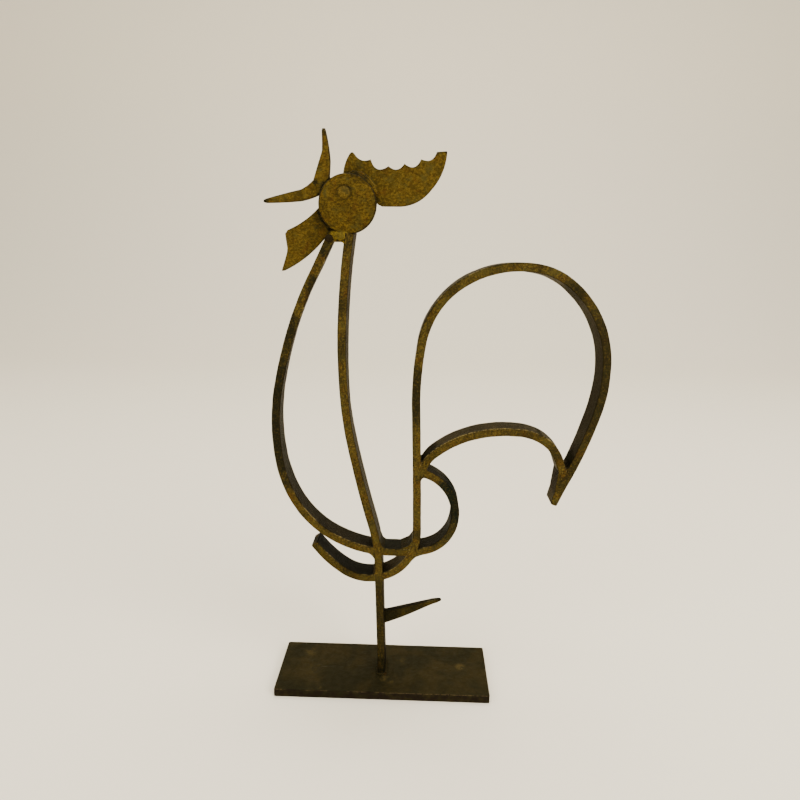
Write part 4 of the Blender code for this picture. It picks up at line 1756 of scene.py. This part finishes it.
@dataclass
class UpperBill(Blade):
    """The upper half of the open beak, which points up."""

    lower: Corners = ((-10.7, 90.0, 0), (-11.12, 90.6, 0), (-11.20, 91.40, 0), (-11.98, 92.00, 0.02),
                      (-10.42, 96.65, -0.03), (-10.42, 99.6, 0), (-10.32, 100.03, 0))
    upper: Corners = ((-9.0, 90.9, 0), (-9.2, 92.9, -0.03), (-9.04, 95.2, -0.1), (-9.70, 99.6, 0), (-9.84, 100.03, 0))
    tip_thick: float = 0.0013
    edge_round: float = 0.0013
    pairs: Pairs = ((0.0, 0.0), (0.085, 0.05), (0.17, 0.12), (0.26, 0.20), (1.0, 1.0))
    seed: int = 27


@dataclass
class LowerBill(Blade):
    """The lower half of the open beak, which points forward."""

    lower: Corners = ((-9.4, 89.3, 0), (-11.07, 89.80, 0.1), (-14.03, 88.87, 0.07), (-19.75, 88.56, 0),
                      (-20.22, 88.70, 0))
    upper: Corners = ((-10.1, 90.6, 0), (-10.75, 91.75, 0), (-11.90, 92.22, 0.11), (-13.97, 90.75, -0.04),
                      (-19.7, 89.28, 0), (-20.22, 89.04, 0))
    half_thick: float = 0.0019
    tip_thick: float = 0.0013
    edge_round: float = 0.0013
    pairs: Pairs = ((0.0, 0.0), (0.14, 0.13), (0.2, 0.22), (0.43, 0.42), (1.0, 1.0))
    seed: int = 30


@dataclass
class Head:
    """The disc, its eye, the comb, the wattle, the open beak and the welds between them.

    The shades are painted shade that reaches out from the disc's middle, over what joins its rim, where the disc stands
    proud of it.
    """

    comb_shade: StainAndShade = StainAndShade(-6.22, 88.47, 5.7, 0.6, 0.84)
    wattle_shade: StainAndShade = StainAndShade(-6.22, 88.47, 5.9, 0.95, 0.84)
    bill_shade: StainAndShade = StainAndShade(-6.22, 88.47, 5.7, 0.95, 0.84)

    def disc(self) -> tuple[Part, ...]:
        """The disc and its eye."""
        return (
            Disc("head", ("head_disc",), Slot.HEAD, paint=DISC_GILT,
                 # The fourth spot darkens the disc round the eye's upper right: painted shade
                 stains_and_shades=(StainAndShade(-5.0, 92.8, 1.5, 0.6), StainAndShade(-3.6, 92.3, 1.4, 0.5), StainAndShade(-9.6, 84.9, 1.2, 0.5),
                         StainAndShade(-5.9, 91.0, 1.2, 0.45), StainAndShade(-10.3, 88.4, 1.6, 0.40))),
            # The eye's spot is painted shade on the upper right of its bulb
            Eye("eye_bulb", ("eye",), Slot.EYE, paint=EYE_LIT_GILT, stains_and_shades=(StainAndShade(-5.9, 91.2, 2.0, 0.55),)))

    def plates(self) -> tuple[Part, ...]:
        """The comb, the wattle and both halves of the beak."""
        return (
            Comb("comb_plate", ("comb",), Slot.HEAD, paint=HEAD_GILT,
                 stains_and_shades=(self.comb_shade, StainAndShade(-4.4, 93.3, 2.4, 0.5), StainAndShade(-2.2, 91.0, 1.6, 0.4),
                         StainAndShade(8.1, 96.5, 0.45, 0.9), StainAndShade(9.7, 96.6, 0.5, 1.0), StainAndShade(-1.0, 88.7, 1.2, 0.5))),
            Wattle("wattle_plate", ("wattle",), Slot.HEAD, paint=HEAD_GILT,
                   stains_and_shades=(self.wattle_shade, StainAndShade(-10.6, 85.6, 2.4, 0.6))),
            UpperBill("upper_bill", ("upper_beak",), Slot.HEAD, paint=HEAD_GILT,
                      stains_and_shades=(self.bill_shade, StainAndShade(-10.1, 99.9, 1.9, 0.9), StainAndShade(-11.5, 91.8, 0.7, 0.9),
                              StainAndShade(-11.0, 94.5, 1.0, 0.5))),
            LowerBill("lower_bill", ("lower_beak",), Slot.HEAD, paint=HEAD_GILT,
                      stains_and_shades=(self.bill_shade, StainAndShade(-20.1, 88.9, 1.4, 0.8), StainAndShade(-11.6, 91.7, 0.7, 0.9),
                              StainAndShade(-14.5, 89.4, 1.4, 0.4))))

    def welds(self) -> tuple[Part, ...]:
        """The weld at the throat with its dark button and its web, and the comb's weld."""
        under_disc = Corner(Part.place(-6.75, 82.55), np.array((-1.0, 0.0)), np.array((0.02, -1.0)))
        return (
            Lump("throat", ("throat_weld",), Slot.WELD, (-7.72, 83.42), (0.0072, 0.00745, 0.0035), power=3.6,
                 rough=0.0003, seed=81, paint=THROAT_GILT,
                 stains_and_shades=(StainAndShade(-9.5, 84.2, 0.9, 0.8), StainAndShade(-7.9, 82.75, 0.35, 0.9))),
            Lump("throat_spot", (), Slot.WELD, (-9.20, 83.05), (0.0024, 0.0013, 0.0024), depth=-0.0079, power=2.2,
                 rough=0.0002, seed=83, paint=BUTTON_COAT),
            Web("web_throat", (), Slot.WELD, under_disc, (0.0022, 0.0024), seed=84, paint=THROAT_GILT),
            RimWeld("comb_weld", (), Slot.WELD, paint=HEAD_GILT,
                    stains_and_shades=(StainAndShade(-4.9, 92.9, 1.7, 0.75), StainAndShade(-3.6, 92.5, 1.5, 0.65), StainAndShade(-1.4, 89.5, 0.9, 0.7))))

    def build(self) -> None:
        """Builds the head."""
        for piece in (*self.disc(), *self.plates(), *self.welds()):
            piece.build()


@dataclass
class Spur(Blade):
    """The pointed strip on the back of the leg, drawn out round at its tip."""

    lower: Corners = ((-0.5, 10.35, 0), (0.6, 10.68, 0), (2.57, 11.50, -0.03), (5.36, 12.78, 0), (8.1, 14.2, 0.04),
                      (10.33, 15.2, 0), (11.1, 15.65, 0))
    upper: Corners = ((-0.5, 13.1, 0), (0.9, 13.3, 0), (3.17, 13.98, 0), (5.36, 14.62, 0), (9.22, 15.78, 0.03),
                      (10.72, 16.02, 0), (11.1, 15.88, 0))
    half_thick: float = 0.0025
    tip_thick: float = 0.0014
    edge_round: float = 0.0009
    seed: int = 33

    def surface(self) -> Surface:
        """The blade, moved from the comb's sheet to the middle of the leg's depth."""
        made = super().surface()
        made.points[:, 1] -= self.sheet_middle()
        return made


@dataclass
class Studio:
    """The pale floor, the soft lights and the camera at the photograph's angle."""

    eye_point: tuple[float, float, float] = (0.02079, -0.38131, 0.31008)
    yaw: float = 1.67
    pitch: float = -14.89
    roll: float = -0.72
    focal_pixels: float = 610.4
    frame_pixels: float = 800.0
    sensor: float = 36.0
    aim: tuple[float, float, float] = (0.03, 0.0, 0.19)
    floor_reach: float = 1.1
    floor_bend: float = 0.9
    floor_half_width: float = 5.0
    floor_colour: Colour = (0.94, 0.86, 0.68)
    air_colour: Colour = (0.94, 0.90, 0.85)
    air_strength: float = 0.75

    def camera(self) -> None:
        """Sets the camera: it looks along +Y, is rolled, pitched down, then turned by the yaw."""
        data = bpy.data.cameras.new("camera")
        data.sensor_width = self.sensor
        data.lens = self.focal_pixels / self.frame_pixels * data.sensor_width
        data.clip_start = 0.01
        data.clip_end = 30.0
        camera = bpy.data.objects.new("camera", data)
        bpy.context.collection.objects.link(camera)
        turn = (Matrix.Rotation(math.radians(self.yaw), 4, "Z") @ Matrix.Rotation(math.radians(self.pitch), 4, "X")
                @ Matrix.Rotation(math.radians(self.roll), 4, "Y") @ Matrix.Rotation(math.radians(90), 4, "X"))
        camera.matrix_world = Matrix.Translation(self.eye_point) @ turn
        bpy.context.scene.camera = camera

    def floor(self) -> None:
        """A pale sheet that runs back and curves up behind the bird.

        Formula: flat from 3 m in front to its reach, a quarter round, then straight up to 4 m.
        """
        reach, bend, half = self.floor_reach, self.floor_bend, self.floor_half_width
        angle = np.linspace(0, np.pi / 2, 24)
        back = np.concatenate(((-3.0, reach), reach + bend * np.sin(angle)[1:], (reach + bend,)))
        rise = np.concatenate(((0.0, 0.0), bend * (1 - np.cos(angle))[1:], (4.0,)))
        body = np.stack([np.stack((np.full(len(back), x), back, rise), -1) for x in (-half, half)], 1)
        count = len(back)
        faces = [(2 * i, 2 * i + 1, 2 * i + 3, 2 * i + 2) for i in range(count - 1)]
        data = bpy.data.meshes.new("studio_floor")
        data.from_pydata(body.reshape(-1, 3).tolist(), [], faces)
        data.shade_smooth()
        sheet = bpy.data.objects.new("studio_floor", data)
        bpy.context.collection.objects.link(sheet)
        material = bpy.data.materials.new("studio_paper")
        material.use_nodes = True
        shader = material.node_tree.nodes["Principled BSDF"]
        shader.inputs["Base Color"].default_value = (*self.floor_colour, 1.0)
        shader.inputs["Roughness"].default_value = 0.75
        shader.inputs["Specular IOR Level"].default_value = 0.2
        data.materials.append(material)
        sheet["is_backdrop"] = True

    def lamp(self, name: str, place: tuple[float, float, float], size: float, watts: float, warmth: Colour) -> None:
        """A square soft light aimed at the bird's middle.

        Args:
            name: The light's name.
            place: Where it hangs.
            size: Length of its side.
            watts: Its power.
            warmth: Its colour.
        """
        data = bpy.data.lights.new(name, "AREA")
        data.size = size
        data.energy = watts
        data.color = warmth
        lamp = bpy.data.objects.new(name, data)
        bpy.context.collection.objects.link(lamp)
        aim = Vector(self.aim) - Vector(place)
        lamp.matrix_world = Matrix.Translation(place) @ aim.to_track_quat("-Z", "Y").to_matrix().to_4x4()

    def build(self) -> None:
        """Sets up the camera, floor, lights and the pale surroundings."""
        self.camera()
        self.floor()
        self.lamp("window", (-1.1, -1.2, 1.2), 1.3, 18.0, (1.0, 0.97, 0.92))
        self.lamp("room", (1.2, -0.9, 1.1), 1.0, 30.0, (1.0, 0.96, 0.90))
        self.lamp("ceiling", (0.1, 0.3, 1.8), 1.4, 34.0, (1.0, 0.97, 0.93))
        world = bpy.data.worlds.new("surroundings")
        world.use_nodes = True
        air = world.node_tree.nodes["Background"]
        air.inputs["Color"].default_value = (*self.air_colour, 1.0)
        air.inputs["Strength"].default_value = self.air_strength
        bpy.context.scene.world = world


def main() -> None:
    """Loads the frame, reads its box, and builds every piece in order."""
    logging.basicConfig(level=logging.INFO, format="%(name)s %(message)s")
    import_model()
    packed = [list(map(float, corner)) for corner in Part.limits()]
    Studio().build()
    BasePlate("plate", ("base_plate",), Slot.BASE).build()
    Bird().build()
    Head().build()
    Spur("spur_point", ("spur",), Slot.BAR, paint=SPUR_COAT, stains_and_shades=(StainAndShade(1.4, 12.4, 3.4, 0.75, 0.3),)).build()


if __name__ == "__main__":
    main()
